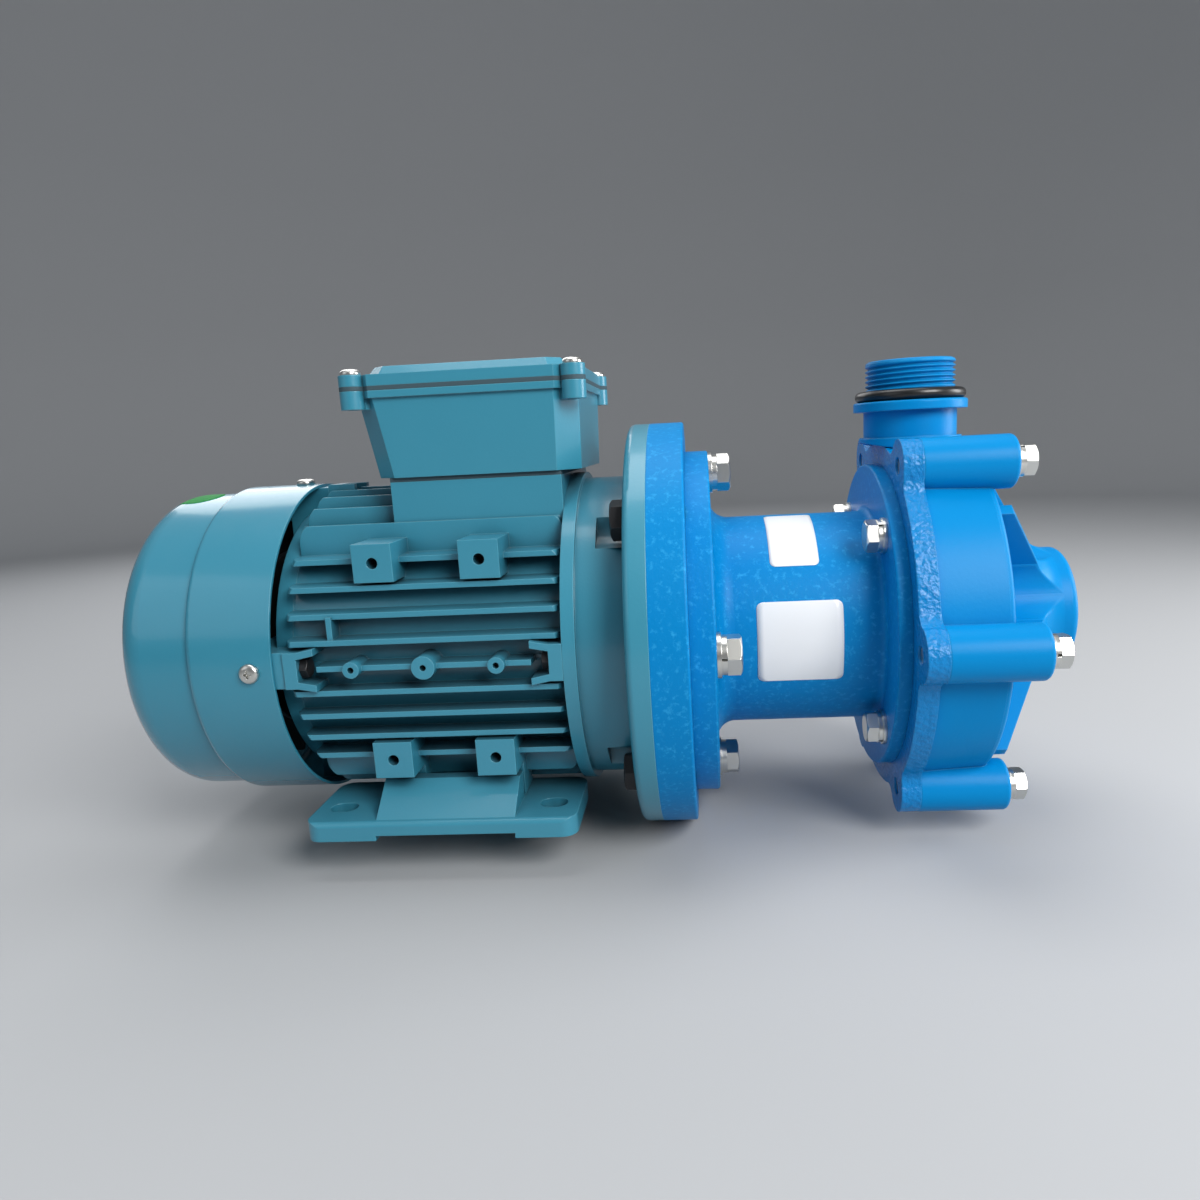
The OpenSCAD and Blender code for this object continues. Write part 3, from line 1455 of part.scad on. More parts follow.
module volute_housing() {
    color(pump_blue) difference() {
        union() {
            turn() difference() {
                polygon([
                    [0, ring_s1], [drum_r, ring_s1], [drum_r - drum_draft, drum_s1], [suction_r, cone_s],
                    [0, cone_s]
                ]);
                translate([drum_r - drum_draft, drum_s1]) corner(drum_edge_r);
            }
            on_shaft(ring_s1) on_circle(ear_count, ear_bolt_r, ear_start) rotate_extrude() difference() {
                square([boss_r, boss_l]);
                translate([boss_r, boss_l]) corner(boss_edge_r);
            }
            turn() difference() {
                band(drum_s1, suction_s1, suction_r);
                translate([suction_r, suction_s1]) corner(hub_edge_r);
            }
            on_shaft() on_circle(rib_count, 0) front_rib();
            nozzle();
        }
        turn() {
            band(ring_s1 - over, chamber_s1, chamber_r);
            band(chamber_s1 - over, mouth_s1, mouth_r + seat_fit);
            band(mouth_s1 - over, suction_s1 + over, suction_bore_r);
            band(suction_s1 - suction_port_l, suction_s1 + over, suction_port_r);
            translate([oring_ring_r, ring_s1]) square([3 * oring_r, 4 * (oring_r + seat_fit)], center = true);
        }
        on_shaft(ring_s1 + throat_wall) translate([0, scroll_shift, 0])
            cylinder(r = scroll_r, h = chamber_l - throat_wall);
        intersection() {
            translate([nozzle_x, 0, shaft_h]) cylinder(r = nozzle_bore_r, h = nozzle_top_z);
            translate([face_x + ring_s1 + throat_wall, -collar_r, shaft_h])
                cube([chamber_l - throat_wall, 2 * collar_r, nozzle_top_z]);
        }
        translate([nozzle_x, 0, collar_seat_z + collar_h]) cylinder(r = nozzle_bore_r, h = nozzle_top_z);
        on_shaft(ring_s1 - over) on_circle(ear_count, ear_bolt_r, ear_start)
            cylinder(d = m8[0] + 2 * hole_fit, h = boss_l + 2 * over);
    }
    color(pump_blue) difference() {
        union() {
            turn() band(spider_s0, spider_s0 + spider_l, spider_boss_r);
            on_shaft(spider_s0) on_circle(3, 0) translate([0, -spider_arm_t / 2, 0])
                cube([suction_bore_r + 1, spider_arm_t, spider_l]);
        }
        turn() band(spider_s0 - over, pump_shaft_s1 + seat_fit, pump_shaft_r + seat_fit);
    }
}

module discharge_oring() {
    color(black_rubber) translate([nozzle_x, 0, nozzle_face_z + nozzle_oring_r]) rotate_extrude()
        translate([oring_seat_r + seat_fit + nozzle_oring_r, 0]) circle(nozzle_oring_r);
}

// Barrier, magnets and impeller

module barrier() {
    color(black_plastic) turn() difference() {
        union() {
            difference() {
                band(can_s0, ring_s1, can_r);
                translate([can_r, can_s0]) mirror([0, 1]) corner(can_edge_r);
            }
            band(ring_s1 - barrier_t, ring_s1, barrier_r);
        }
        difference() {
            band(can_s0 + can_wall, ring_s1 + over, can_in_r);
            band(can_s0 + can_wall, rear_thrust_s0, can_boss_r);
        }
        band(pump_shaft_s0 - seat_fit, ring_s1 + over, pump_shaft_r + seat_fit);
    }
}

module barrier_oring() {
    color(black_rubber) turn() translate([oring_ring_r, ring_s1 + oring_r]) circle(oring_r);
}

module outer_magnet_hub() {
    color(dark_steel) difference() {
        turn() difference() {
            union() {
                band(hub_s0, cup_floor_s1, hub_r);
                band(cup_floor_s1 - cup_floor, cup_s1, cup_r);
            }
            band(cup_floor_s1, cup_s1 + over, cup_in_r);
            band(hub_s0 - over, cup_floor_s1 + over, shaft_r + seat_fit);
        }
        translate([face_x + hub_s0 - over, -key_w / 2 - seat_fit, shaft_h])
            cube([hub_l + 2 * over, key_w + 2 * seat_fit, shaft_r - key_depth + key_w + seat_fit]);
        translate([face_x + hub_s0 + hub_l / 4, 0, shaft_h])
            cylinder(r = set_screw_r + thread_fit, h = hub_r + over);
    }
}

module hub_set_screw() {
    screw_z = shaft_r - key_depth + key_w + seat_fit;
    color(dark_steel) translate([face_x + hub_s0 + hub_l / 4, 0, shaft_h + screw_z]) difference() {
        cylinder(r = set_screw_r, h = hub_r - screw_z - over);
        translate([0, 0, hub_r - screw_z - set_screw_r])
            cylinder(r = set_screw_r / 2, h = set_screw_r, $fn = 6);
    }
}

module outer_magnets() {
    color(magnet_grey) on_shaft(magnet_s0)
        segments(cup_in_r - seat_fit, cup_in_r - outer_magnet_t, magnet_l, magnet_count);
}

module rotor_jacket() {
    color(black_plastic) turn() difference() {
        band(jacket_s0, hub_seat_s, jacket_r, jacket_in_r);
        band(jacket_s0 + jacket_wall, hub_seat_s + over, pocket_r, jacket_tube_r);
    }
}

module rotor_back_iron() {
    color(bare_steel) turn() band(jacket_s0 + jacket_wall, hub_seat_s, back_iron_r, jacket_tube_r + seat_fit);
}

module inner_magnets() {
    color(magnet_grey) on_shaft(magnet_s0)
        segments(inner_magnet_r, inner_magnet_r - inner_magnet_t, magnet_l, magnet_count);
}

module carbon_bush() {
    color(carbon) turn() band(jacket_s0, bush_s1, bush_r, pump_shaft_r + running_fit);
}

// Vane bent backwards from the eye to the rim, in the plane of the impeller
module vane() {
    difference() {
        translate([vane_curve_r, 0]) circle(vane_curve_r + vane_t / 2);
        translate([vane_curve_r, 0]) circle(vane_curve_r - vane_t / 2);
        translate([-impeller_r, -2 * impeller_r]) square([4 * impeller_r, 2 * impeller_r]);
    }
}

module impeller() {
    color(black_plastic) difference() {
        union() {
            turn() {
                band(hub_seat_s, impeller_s0 + over, jacket_r);
                band(impeller_s0, vane_s0, impeller_r);
                band(vane_s0 - over, nose_s1, nose_r);
                band(vane_s1, front_shroud_s1, impeller_r, eye_r);
                band(vane_s1, eye_s1, eye_r + shroud_t, eye_r);
            }
            on_shaft(vane_s0 - over) linear_extrude(vane_h + 2 * over) intersection() {
                difference() {
                    circle(impeller_r);
                    circle(vane_in_r);
                }
                on_circle(vane_count, 0) vane();
            }
        }
        turn() {
            band(hub_seat_s - over, bush_s1 + seat_fit, bush_r + seat_fit);
            band(hub_seat_s, nose_s1 + over, pump_shaft_r + hole_fit);
        }
    }
}

module pump_shaft() {
    color(ceramic) turn() band(pump_shaft_s0, pump_shaft_s1, pump_shaft_r);
}

module thrust_rings() {
    color(ceramic) turn() {
        band(rear_thrust_s0, rear_thrust_s0 + thrust_t, bush_r - 1, pump_shaft_r + seat_fit);
        band(spider_s0 - thrust_t, spider_s0, spider_boss_r, pump_shaft_r + seat_fit);
    }
}

module mouth_ring() {
    color(ceramic) turn() band(chamber_s1 - mouth_lip, mouth_s1, mouth_r, mouth_in_r);
}

motor_frame();
de_endshield();
nde_endshield();
endshield_screws();
fan_cowl();
cowl_screws();
cooling_fan();
stator_core();
stator_winding();
rotor_core();
rotor_end_rings();
motor_shaft();
bearing_outer_rings();
bearing_inner_rings();
bearing_balls();
bearing_cages();
shaft_seal();
shaft_key();
front_foot();
back_foot();
foot_bolts();
box_gasket();
terminal_box();
box_screws();
terminal_board();
terminal_studs();
lid_gasket();
terminal_lid();
lid_screws();
gland_body();
gland_nut();
adapter_plate();
flange_bolts();
motor_adapter();
adapter_bolts();
adapter_washers();
adapter_spring_washers();
clamp_ring();
disc_bolts();
housing_bolts();
small_washers();
small_spring_washers();
barrier();
barrier_oring();
outer_magnet_hub();
outer_magnets();
hub_set_screw();
rotor_jacket();
rotor_back_iron();
inner_magnets();
carbon_bush();
impeller();
pump_shaft();
thrust_rings();
mouth_ring();
volute_housing();
discharge_oring();
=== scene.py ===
import math

import bmesh
import bpy
from mathutils import Matrix, Vector


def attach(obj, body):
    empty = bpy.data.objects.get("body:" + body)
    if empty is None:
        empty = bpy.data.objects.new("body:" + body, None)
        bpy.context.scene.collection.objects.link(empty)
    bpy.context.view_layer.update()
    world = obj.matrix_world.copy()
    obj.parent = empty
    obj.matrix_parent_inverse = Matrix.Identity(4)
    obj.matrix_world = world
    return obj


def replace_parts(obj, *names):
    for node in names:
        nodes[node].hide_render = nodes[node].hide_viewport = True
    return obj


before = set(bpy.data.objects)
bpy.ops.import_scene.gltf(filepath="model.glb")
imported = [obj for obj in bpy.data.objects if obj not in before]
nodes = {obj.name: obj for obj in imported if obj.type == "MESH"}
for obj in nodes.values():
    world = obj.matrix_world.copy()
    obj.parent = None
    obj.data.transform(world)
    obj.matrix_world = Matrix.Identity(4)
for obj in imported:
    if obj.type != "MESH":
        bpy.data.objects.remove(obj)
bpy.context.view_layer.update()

# Sizes shared with the solids
SHAFT_H = 0.080
FACE_X = 0.100
BARREL_R = 0.052
COWL_R = 0.0785
COWL_REAR_R = 0.0755
COWL_SCREW_X = FACE_X - 0.178
NOZZLE_X = FACE_X + 0.1265
THREAD_R = 0.02095
THREAD_Z0 = 0.1897
THREAD_Z1 = 0.2022
PORT_R = 0.0239
PORT_X0 = FACE_X + 0.178
PORT_X1 = FACE_X + 0.199
HUB_R = 0.030
RIB_COUNT = 8
RIB_T = 0.005
RIB_FOOT = (0.078, FACE_X + 0.1575)
RIB_TIP = (0.030, FACE_X + 0.184)
RIB_ROOT_X = FACE_X + 0.1545
LID_TOP = 0.207
LID_X = 0.0195
LID_PITCH = (0.100, 0.093)
FLOOR_Z = -0.020


# Colour helpers
def linear(v):
    v /= 255.0
    return v / 12.92 if v <= 0.04045 else ((v + 0.055) / 1.055) ** 2.4


def rgb(r, g, b):
    return (linear(r), linear(g), linear(b), 1.0)


# Node helpers
def link(tree, a, b):
    tree.links.new(a, b)


def add(tree, kind, x, y, **props):
    n = tree.nodes.new(kind)
    n.location = (x, y)
    for k, v in props.items():
        setattr(n, k, v)
    return n


def new_group(name, inputs, outputs):
    """A shader group whose inputs are (name, type, default) and outputs (name, type)."""
    g = bpy.data.node_groups.new(name, "ShaderNodeTree")
    for label, kind, default in inputs:
        s = g.interface.new_socket(label, in_out="INPUT", socket_type=kind)
        if default is not None:
            s.default_value = default
    for label, kind in outputs:
        g.interface.new_socket(label, in_out="OUTPUT", socket_type=kind)
    return g, add(g, "NodeGroupInput", -900, 0), add(g, "NodeGroupOutput", 700, 0)


FLOAT, COLOR, VECTOR = "NodeSocketFloat", "NodeSocketColor", "NodeSocketVector"


# Softened edges: a rounded normal and a mask of the sharp edges, which the finishes use for a painted edge highlight
def soft_edges():
    g, gi, go = new_group("Soft edges", [("Radius", FLOAT, 0.0006)], [("Normal", VECTOR), ("Edge", FLOAT)])
    bevel = add(g, "ShaderNodeBevel", -600, 100, samples=6)
    geo = add(g, "ShaderNodeNewGeometry", -600, -150)
    dot = add(g, "ShaderNodeVectorMath", -350, 0, operation="DOT_PRODUCT")
    span = add(g, "ShaderNodeMapRange", -100, 0)
    span.inputs["From Min"].default_value = 0.995
    span.inputs["From Max"].default_value = 0.80
    link(g, gi.outputs["Radius"], bevel.inputs["Radius"])
    link(g, bevel.outputs["Normal"], dot.inputs[0])
    link(g, geo.outputs["Normal"], dot.inputs[1])
    link(g, dot.outputs["Value"], span.inputs["Value"])
    link(g, bevel.outputs["Normal"], go.inputs["Normal"])
    link(g, span.outputs["Result"], go.inputs["Edge"])
    return g


# Surface grain: a bumped normal and a slow variation in tone
def grain():
    g, gi, go = new_group(
        "Grain",
        [("Scale", FLOAT, 900.0), ("Depth", FLOAT, 0.00005), ("Normal", VECTOR, None)],
        [("Normal", VECTOR), ("Tone", FLOAT)],
    )
    at = add(g, "ShaderNodeTexCoord", -900, 250)
    fine = add(g, "ShaderNodeTexNoise", -600, 200)
    fine.inputs["Detail"].default_value = 3.0
    slow = add(g, "ShaderNodeTexNoise", -600, -150)
    slow.inputs["Scale"].default_value = 22.0
    slow.inputs["Detail"].default_value = 4.0
    bump = add(g, "ShaderNodeBump", -100, 150)
    bump.inputs["Strength"].default_value = 1.0
    link(g, at.outputs["Object"], fine.inputs["Vector"])
    link(g, at.outputs["Object"], slow.inputs["Vector"])
    link(g, gi.outputs["Scale"], fine.inputs["Scale"])
    link(g, fine.outputs["Fac"], bump.inputs["Height"])
    link(g, gi.outputs["Depth"], bump.inputs["Distance"])
    link(g, gi.outputs["Normal"], bump.inputs["Normal"])
    link(g, bump.outputs["Normal"], go.inputs["Normal"])
    link(g, slow.outputs["Fac"], go.inputs["Tone"])
    return g


# Speckle: a mask of flecks, bright flecks of a rolled or shot coating, or dark flecks that stand as painted shade in
# hammer pits
def speckle():
    g, gi, go = new_group("Speckle", [("Scale", FLOAT, 600.0), ("Cover", FLOAT, 0.5)], [("Mask", FLOAT)])
    at = add(g, "ShaderNodeTexCoord", -900, 250)
    noise = add(g, "ShaderNodeTexNoise", -600, 150)
    noise.inputs["Detail"].default_value = 5.0
    noise.inputs["Roughness"].default_value = 0.65
    low = add(g, "ShaderNodeMath", -600, -150, operation="SUBTRACT")
    low.inputs[0].default_value = 0.80
    half = add(g, "ShaderNodeMath", -750, -150, operation="MULTIPLY")
    half.inputs[1].default_value = 0.4
    high = add(g, "ShaderNodeMath", -400, -150, operation="ADD")
    high.inputs[1].default_value = 0.22
    span = add(g, "ShaderNodeMapRange", -100, 100)
    link(g, at.outputs["Object"], noise.inputs["Vector"])
    link(g, gi.outputs["Scale"], noise.inputs["Scale"])
    link(g, gi.outputs["Cover"], half.inputs[0])
    link(g, half.outputs[0], low.inputs[1])
    link(g, low.outputs[0], high.inputs[0])
    link(g, noise.outputs["Fac"], span.inputs["Value"])
    link(g, low.outputs[0], span.inputs["From Min"])
    link(g, high.outputs[0], span.inputs["From Max"])
    link(g, span.outputs["Result"], go.inputs["Mask"])
    return g


# Painted shade: a mask of corners, seams and recesses, from ambient occlusion
def painted_shade():
    g, gi, go = new_group("Painted shade", [("Reach", FLOAT, 0.006)], [("Mask", FLOAT)])
    ao = add(g, "ShaderNodeAmbientOcclusion", -600, 0, samples=6)
    span = add(g, "ShaderNodeMapRange", -200, 0)
    span.inputs["From Min"].default_value = 0.75
    span.inputs["From Max"].default_value = 0.15
    link(g, gi.outputs["Reach"], ao.inputs["Distance"])
    link(g, ao.outputs["AO"], span.inputs["Value"])
    link(g, span.outputs["Result"], go.inputs["Mask"])
    return g


# Dust: a mask of the faces that look up
def dust():
    g, gi, go = new_group("Dust", [("Amount", FLOAT, 0.2)], [("Mask", FLOAT)])
    geo = add(g, "ShaderNodeNewGeometry", -900, 100)
    part = add(g, "ShaderNodeSeparateXYZ", -700, 100)
    span = add(g, "ShaderNodeMapRange", -500, 100)
    span.inputs["From Min"].default_value = 0.35
    span.inputs["From Max"].default_value = 1.0
    at = add(g, "ShaderNodeTexCoord", -900, -200)
    noise = add(g, "ShaderNodeTexNoise", -650, -200)
    noise.inputs["Scale"].default_value = 60.0
    noise.inputs["Detail"].default_value = 6.0
    a = add(g, "ShaderNodeMath", -250, 0, operation="MULTIPLY")
    b = add(g, "ShaderNodeMath", 0, 0, operation="MULTIPLY")
    link(g, geo.outputs["Normal"], part.inputs[0])
    link(g, part.outputs["Z"], span.inputs["Value"])
    link(g, at.outputs["Object"], noise.inputs["Vector"])
    link(g, span.outputs["Result"], a.inputs[0])
    link(g, noise.outputs["Fac"], a.inputs[1])
    link(g, a.outputs[0], b.inputs[0])
    link(g, gi.outputs["Amount"], b.inputs[1])
    link(g, b.outputs[0], go.inputs["Mask"])
    return g


SOFT, GRAIN, SPECKLE, PAINTED_SHADE, DUST = soft_edges(), grain(), speckle(), painted_shade(), dust()


def use(tree, group, x, y, **values):
    n = add(tree, "ShaderNodeGroup", x, y)
    n.node_tree = group
    for k, v in values.items():
        n.inputs[k].default_value = v
    return n


def mix(tree, factor, a, b, x, y, amount=1.0):
    """Colour a going to colour b by a mask, scaled by an amount. Each colour is a socket or a plain colour."""
    scale = add(tree, "ShaderNodeMath", x - 180, y, operation="MULTIPLY")
    scale.inputs[1].default_value = amount
    n = add(tree, "ShaderNodeMix", x, y, data_type="RGBA")
    link(tree, factor, scale.inputs[0])
    link(tree, scale.outputs[0], n.inputs[0])
    for socket, value in ((n.inputs[6], a), (n.inputs[7], b)):
        if isinstance(value, tuple):
            socket.default_value = value
        else:
            link(tree, value, socket)
    return n.outputs[2]


def material(
    name, base, rough=0.4, metal=0.0, edge=None, edge_highlight_amount=0.5, tone=None, tone_amount=0.3,
    fleck=None, fleck_scale=600.0, fleck_cover=0.5, fleck_amount=0.5, shade=None, shade_amount=0.6,
    shade_reach=0.006, dusty=0.0, grain_scale=900.0, grain_depth=0.00004, radius=0.0006, coat=0.0, shine=0.5,
):
    """A finish built on one Principled shader, with masks from the shared groups: the edge colour is a painted
    highlight on sharp edges, the shade colour painted shade in corners and recesses.
    """
    m = bpy.data.materials.new(name)
    m.use_nodes = True
    m.diffuse_color = base
    t = m.node_tree
    bsdf = next(n for n in t.nodes if n.type == "BSDF_PRINCIPLED")
    bsdf.inputs["Base Color"].default_value = base
    bsdf.inputs["Roughness"].default_value = rough
    bsdf.inputs["Metallic"].default_value = metal
    bsdf.inputs["Specular IOR Level"].default_value = shine
    bsdf.inputs["Coat Weight"].default_value = coat
    bsdf.inputs["Coat Roughness"].default_value = 0.12
    soft = use(t, SOFT, -1400, -300, Radius=radius)
    rough_grain = use(t, GRAIN, -1150, -300, Scale=grain_scale, Depth=grain_depth)
    link(t, soft.outputs["Normal"], rough_grain.inputs["Normal"])
    link(t, rough_grain.outputs["Normal"], bsdf.inputs["Normal"])
    colour = base
    if tone:
        colour = mix(t, rough_grain.outputs["Tone"], colour, tone, -900, 300, tone_amount)
    if fleck:
        flecks = use(t, SPECKLE, -900, 0, Scale=fleck_scale, Cover=fleck_cover)
        colour = mix(t, flecks.outputs["Mask"], colour, fleck, -650, 300, fleck_amount)
    # Painted highlight: sharp edges lightened toward the edge colour
    if edge:
        colour = mix(t, soft.outputs["Edge"], colour, edge, -400, 300, edge_highlight_amount)
    # Painted shade: corners and recesses darkened toward the shade colour
    if shade:
        shade_mask = use(t, PAINTED_SHADE, -650, 0, Reach=shade_reach)
        colour = mix(t, shade_mask.outputs["Mask"], colour, shade, -200, 300, shade_amount)
    if dusty:
        film = use(t, DUST, -400, 0, Amount=dusty)
        colour = mix(t, film.outputs["Mask"], colour, rgb(190, 192, 188), 0, 300)
    if not isinstance(colour, tuple):
        link(t, colour, bsdf.inputs["Base Color"])
    return m


# Finishes; each edge colour is a painted highlight on sharp edges and each shade colour painted shade in corners and
# recesses
# Motor paint: the shade colour, reaching 18 mm, is painted shade deep in the fin valleys
TEAL = material(
    "motor paint", rgb(50, 131, 156), 0.33, edge=rgb(112, 184, 202), edge_highlight_amount=0.5, tone=rgb(62, 144, 168),
    tone_amount=0.5, shade=rgb(8, 44, 58), shade_amount=0.85, shade_reach=0.018, dusty=0.06, grain_scale=700,
    coat=0.3,
)
COWL = material(
    "cowl paint", rgb(44, 128, 154), 0.26, edge=rgb(112, 184, 202), edge_highlight_amount=0.4, tone=rgb(58, 142, 166),
    tone_amount=0.4, dusty=0.05, grain_scale=500, grain_depth=0.00003, coat=0.5,
)
BLUE = material(
    "pump coating", rgb(0, 125, 190), 0.36, edge=rgb(70, 170, 232), edge_highlight_amount=0.35, tone=rgb(0, 137, 202),
    tone_amount=0.5, shade=rgb(0, 60, 116), shade_amount=0.45, grain_scale=650, grain_depth=0.00005, radius=0.0009,
    shine=0.1,
)
MOTTLED = material(
    "mottled coating", rgb(0, 120, 188), 0.42, edge=rgb(80, 175, 232), edge_highlight_amount=0.35, tone=rgb(0, 134, 195),
    tone_amount=0.6, fleck=rgb(56, 174, 230), fleck_scale=380, fleck_cover=0.66, fleck_amount=0.6,
    shade=rgb(0, 60, 116), shade_amount=0.45, grain_scale=480, grain_depth=0.00010, shine=0.12,
)
# Hammered coating: the dark flecks are painted shade for the hammer pits, and the edge colour a painted highlight
HAMMERED = material(
    "hammered coating", rgb(0, 122, 190), 0.24, edge=rgb(70, 166, 226), edge_highlight_amount=0.3, tone=rgb(0, 126, 192),
    tone_amount=0.5, fleck=rgb(0, 86, 150), fleck_scale=380, fleck_cover=0.62, fleck_amount=0.55,
    shade=rgb(0, 60, 116), shade_amount=0.45, grain_scale=380, grain_depth=0.0011, radius=0.0008, shine=0.32,
)
STAINLESS = material(
    "stainless", rgb(226, 226, 222), 0.28, 1.0, edge=rgb(240, 240, 238), edge_highlight_amount=0.5, tone=rgb(170, 168, 160),
    tone_amount=0.5, grain_scale=1500, grain_depth=0.00001, radius=0.0003,
)
DARK = material("black oxide", rgb(52, 52, 54), 0.42, 0.7, edge=rgb(120, 120, 122), grain_scale=1200, radius=0.0004)
STEEL = material("machined steel", rgb(168, 168, 170), 0.33, 1.0, tone=rgb(140, 140, 143), grain_scale=1500,
                 grain_depth=0.00001)
COPPER = material("copper wire", rgb(186, 98, 52), 0.38, 1.0, tone=rgb(150, 70, 36), grain_scale=1600)
BRASS = material("brass", rgb(196, 160, 84), 0.3, 1.0, tone=rgb(170, 132, 66), grain_scale=1500)
ALUMINIUM = material("cast aluminium", rgb(190, 193, 196), 0.42, 1.0, tone=rgb(165, 168, 172), grain_scale=800)
RUBBER = material("black rubber", rgb(18, 18, 19), 0.32, edge=rgb(40, 40, 42), grain_scale=1500, coat=0.1)
PLASTIC = material("black plastic", rgb(26, 26, 28), 0.5, edge=rgb(60, 60, 62), tone=rgb(34, 34, 36),
                   grain_scale=1200)
GASKET = material("sheet gasket", rgb(52, 76, 86), 0.75, tone=rgb(64, 88, 98), grain_scale=900)
MAGNET = material("magnet", rgb(120, 120, 124), 0.3, 1.0, tone=rgb(95, 95, 100), grain_scale=1400)
CERAMIC = material("ceramic", rgb(228, 224, 212), 0.25, tone=rgb(214, 210, 198), grain_scale=1300, coat=0.2)
CARBON = material("carbon", rgb(36, 36, 38), 0.45, tone=rgb(48, 48, 50), grain_scale=1300)
PAPER = material("white label", rgb(226, 229, 232), 0.42, tone=rgb(216, 220, 225), tone_amount=0.5,
                 grain_scale=1800, grain_depth=0.00001, radius=0.0002, coat=0.2)
GREEN = material("green sticker", rgb(10, 124, 52), 0.6, tone=rgb(20, 138, 62), grain_scale=1500,
                 grain_depth=0.00001, radius=0.0002, shine=0.1)

LOOKS = {
    TEAL: ["motor_frame", "de_endshield", "nde_endshield", "front_foot", "back_foot", "terminal_box", "terminal_lid"],
    COWL: ["fan_cowl"],
    MOTTLED: ["adapter_plate", "motor_adapter"],
    HAMMERED: ["clamp_ring"],
    BLUE: ["volute_housing"],
    STAINLESS: [
        "cowl_screws", "lid_screws", "adapter_bolts", "adapter_washers", "adapter_spring_washers", "disc_bolts",
        "housing_bolts", "small_washers", "small_spring_washers", "bearing_balls",
    ],
    DARK: ["endshield_screws", "foot_bolts", "flange_bolts", "outer_magnet_hub", "hub_set_screw"],
    STEEL: [
        "stator_core", "rotor_core", "motor_shaft", "bearing_outer_rings", "bearing_inner_rings", "shaft_key",
        "box_screws", "rotor_back_iron",
    ],
    COPPER: ["stator_winding"],
    BRASS: ["bearing_cages", "terminal_studs"],
    ALUMINIUM: ["rotor_end_rings"],
    RUBBER: ["shaft_seal", "barrier_oring", "discharge_oring"],
    PLASTIC: ["cooling_fan", "terminal_board", "gland_body", "gland_nut", "barrier", "rotor_jacket", "impeller"],
    GASKET: ["box_gasket", "lid_gasket"],
    MAGNET: ["outer_magnets", "inner_magnets"],
    CERAMIC: ["pump_shaft", "thrust_rings", "mouth_ring"],
    CARBON: ["carbon_bush"],
}
for look, names in LOOKS.items():
    for name in names:
        mesh = nodes[name].data
        mesh.materials.clear()
        mesh.materials.append(look)


# New pieces
def new_piece(name, mesh, look, body):
    o = bpy.data.objects.new(name, mesh)
    bpy.context.scene.collection.objects.link(o)
    mesh.materials.clear()
    mesh.materials.append(look)
    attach(o, body)
    return o


def grid_mesh(name, rows, closed=False, smooth=True):
    """A mesh of quads through rows of points."""
    wide = len(rows[0])
    verts = [p for row in rows for p in row]
    faces = []
    for i in range(len(rows) - 1):
        for j in range(wide if closed else wide - 1):
            k = (j + 1) % wide
            faces.append((i * wide + j, i * wide + k, (i + 1) * wide + k, (i + 1) * wide + j))
    mesh = bpy.data.meshes.new(name)
    mesh.from_pydata(verts, [], faces)
    mesh.polygons.foreach_set("use_smooth", [smooth] * len(mesh.polygons))
    mesh.update()
    return mesh


def thread_wave(turn):
    """Depth of a pipe thread, 0 at the crest and 1 at the root, with rounded crests and roots."""
    t = abs((turn % 1.0) * 2.0 - 1.0)
    return min(1.0, max(0.0, (t - 0.12) / 0.76))


def faded(v, lo, hi, run):
    """1 in the middle of a span, going to 0 at both ends."""
    return max(0.0, min(1.0, (v - lo) / run, (hi - v) / run))


# Discharge thread, cut into a copy of the housing in place of the stub's plain wall
PITCH = 0.002309
DEPTH = 0.00148
THREAD_RUNOUT = 0.0012
PORT_RUNOUT = 0.0015
PORT_SKIN = 0.00002
ON_WALL = 0.00002


def threaded_housing():
    mesh = nodes["volute_housing"].data.copy()
    bm = bmesh.new()
    bm.from_mesh(mesh)

    def on_wall(v):
        r = math.hypot(v.co.x - NOZZLE_X, v.co.y)
        return abs(r - THREAD_R) < ON_WALL and THREAD_Z0 - ON_WALL < v.co.z < THREAD_Z1 + ON_WALL

    wall = [f for f in bm.faces if all(on_wall(v) for v in f.verts)]
    bmesh.ops.delete(bm, geom=wall, context="FACES_ONLY")
    around, up = 96, 130
    rings = []
    for i in range(up + 1):
        z = THREAD_Z0 + (THREAD_Z1 - THREAD_Z0) * i / up
        ring = []
        for j in range(around):
            a = 2 * math.pi * j / around
            cut = thread_wave((z - THREAD_Z0) / PITCH - j / around) * faded(z, THREAD_Z0, THREAD_Z1, THREAD_RUNOUT)
            r = THREAD_R - DEPTH * cut
            ring.append(bm.verts.new((NOZZLE_X + r * math.cos(a), r * math.sin(a), z)))
        rings.append(ring)
    for low, high in zip(rings, rings[1:]):
        for j in range(around):
            k = (j + 1) % around
            bm.faces.new((low[j], low[k], high[k], high[j])).smooth = True
    bm.to_mesh(mesh)
    bm.free()
    o = new_piece("threaded_housing", mesh, BLUE, "root")
    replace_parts(o, "volute_housing")
    return o


threaded_housing()


# Suction thread, standing inwards from the port's wall
def suction_thread():
    along, around = 130, 96
    rows = []
    for i in range(along + 1):
        x = PORT_X0 + (PORT_X1 - PORT_X0) * i / along
        row = []
        for j in range(around):
            a = 2 * math.pi * j / around
            crest = 1.0 - thread_wave((x - PORT_X0) / PITCH - j / around)
            rise = crest * faded(x, PORT_X0, PORT_X1, PORT_RUNOUT)
            r = PORT_R - PORT_SKIN - DEPTH * rise
            row.append((x, r * math.cos(a), SHAFT_H + r * math.sin(a)))
        rows.append(row)
    return new_piece("suction_thread", grid_mesh("suction_thread", rows, closed=True), BLUE, "root")


suction_thread()


# Moulded fillets between the front ribs and the suction hub
FILLET_R = 0.0145
TOE_R = 0.017
FILLET_DEPTH = 0.002
SKIN = 0.00015
MERGE = 1e-7


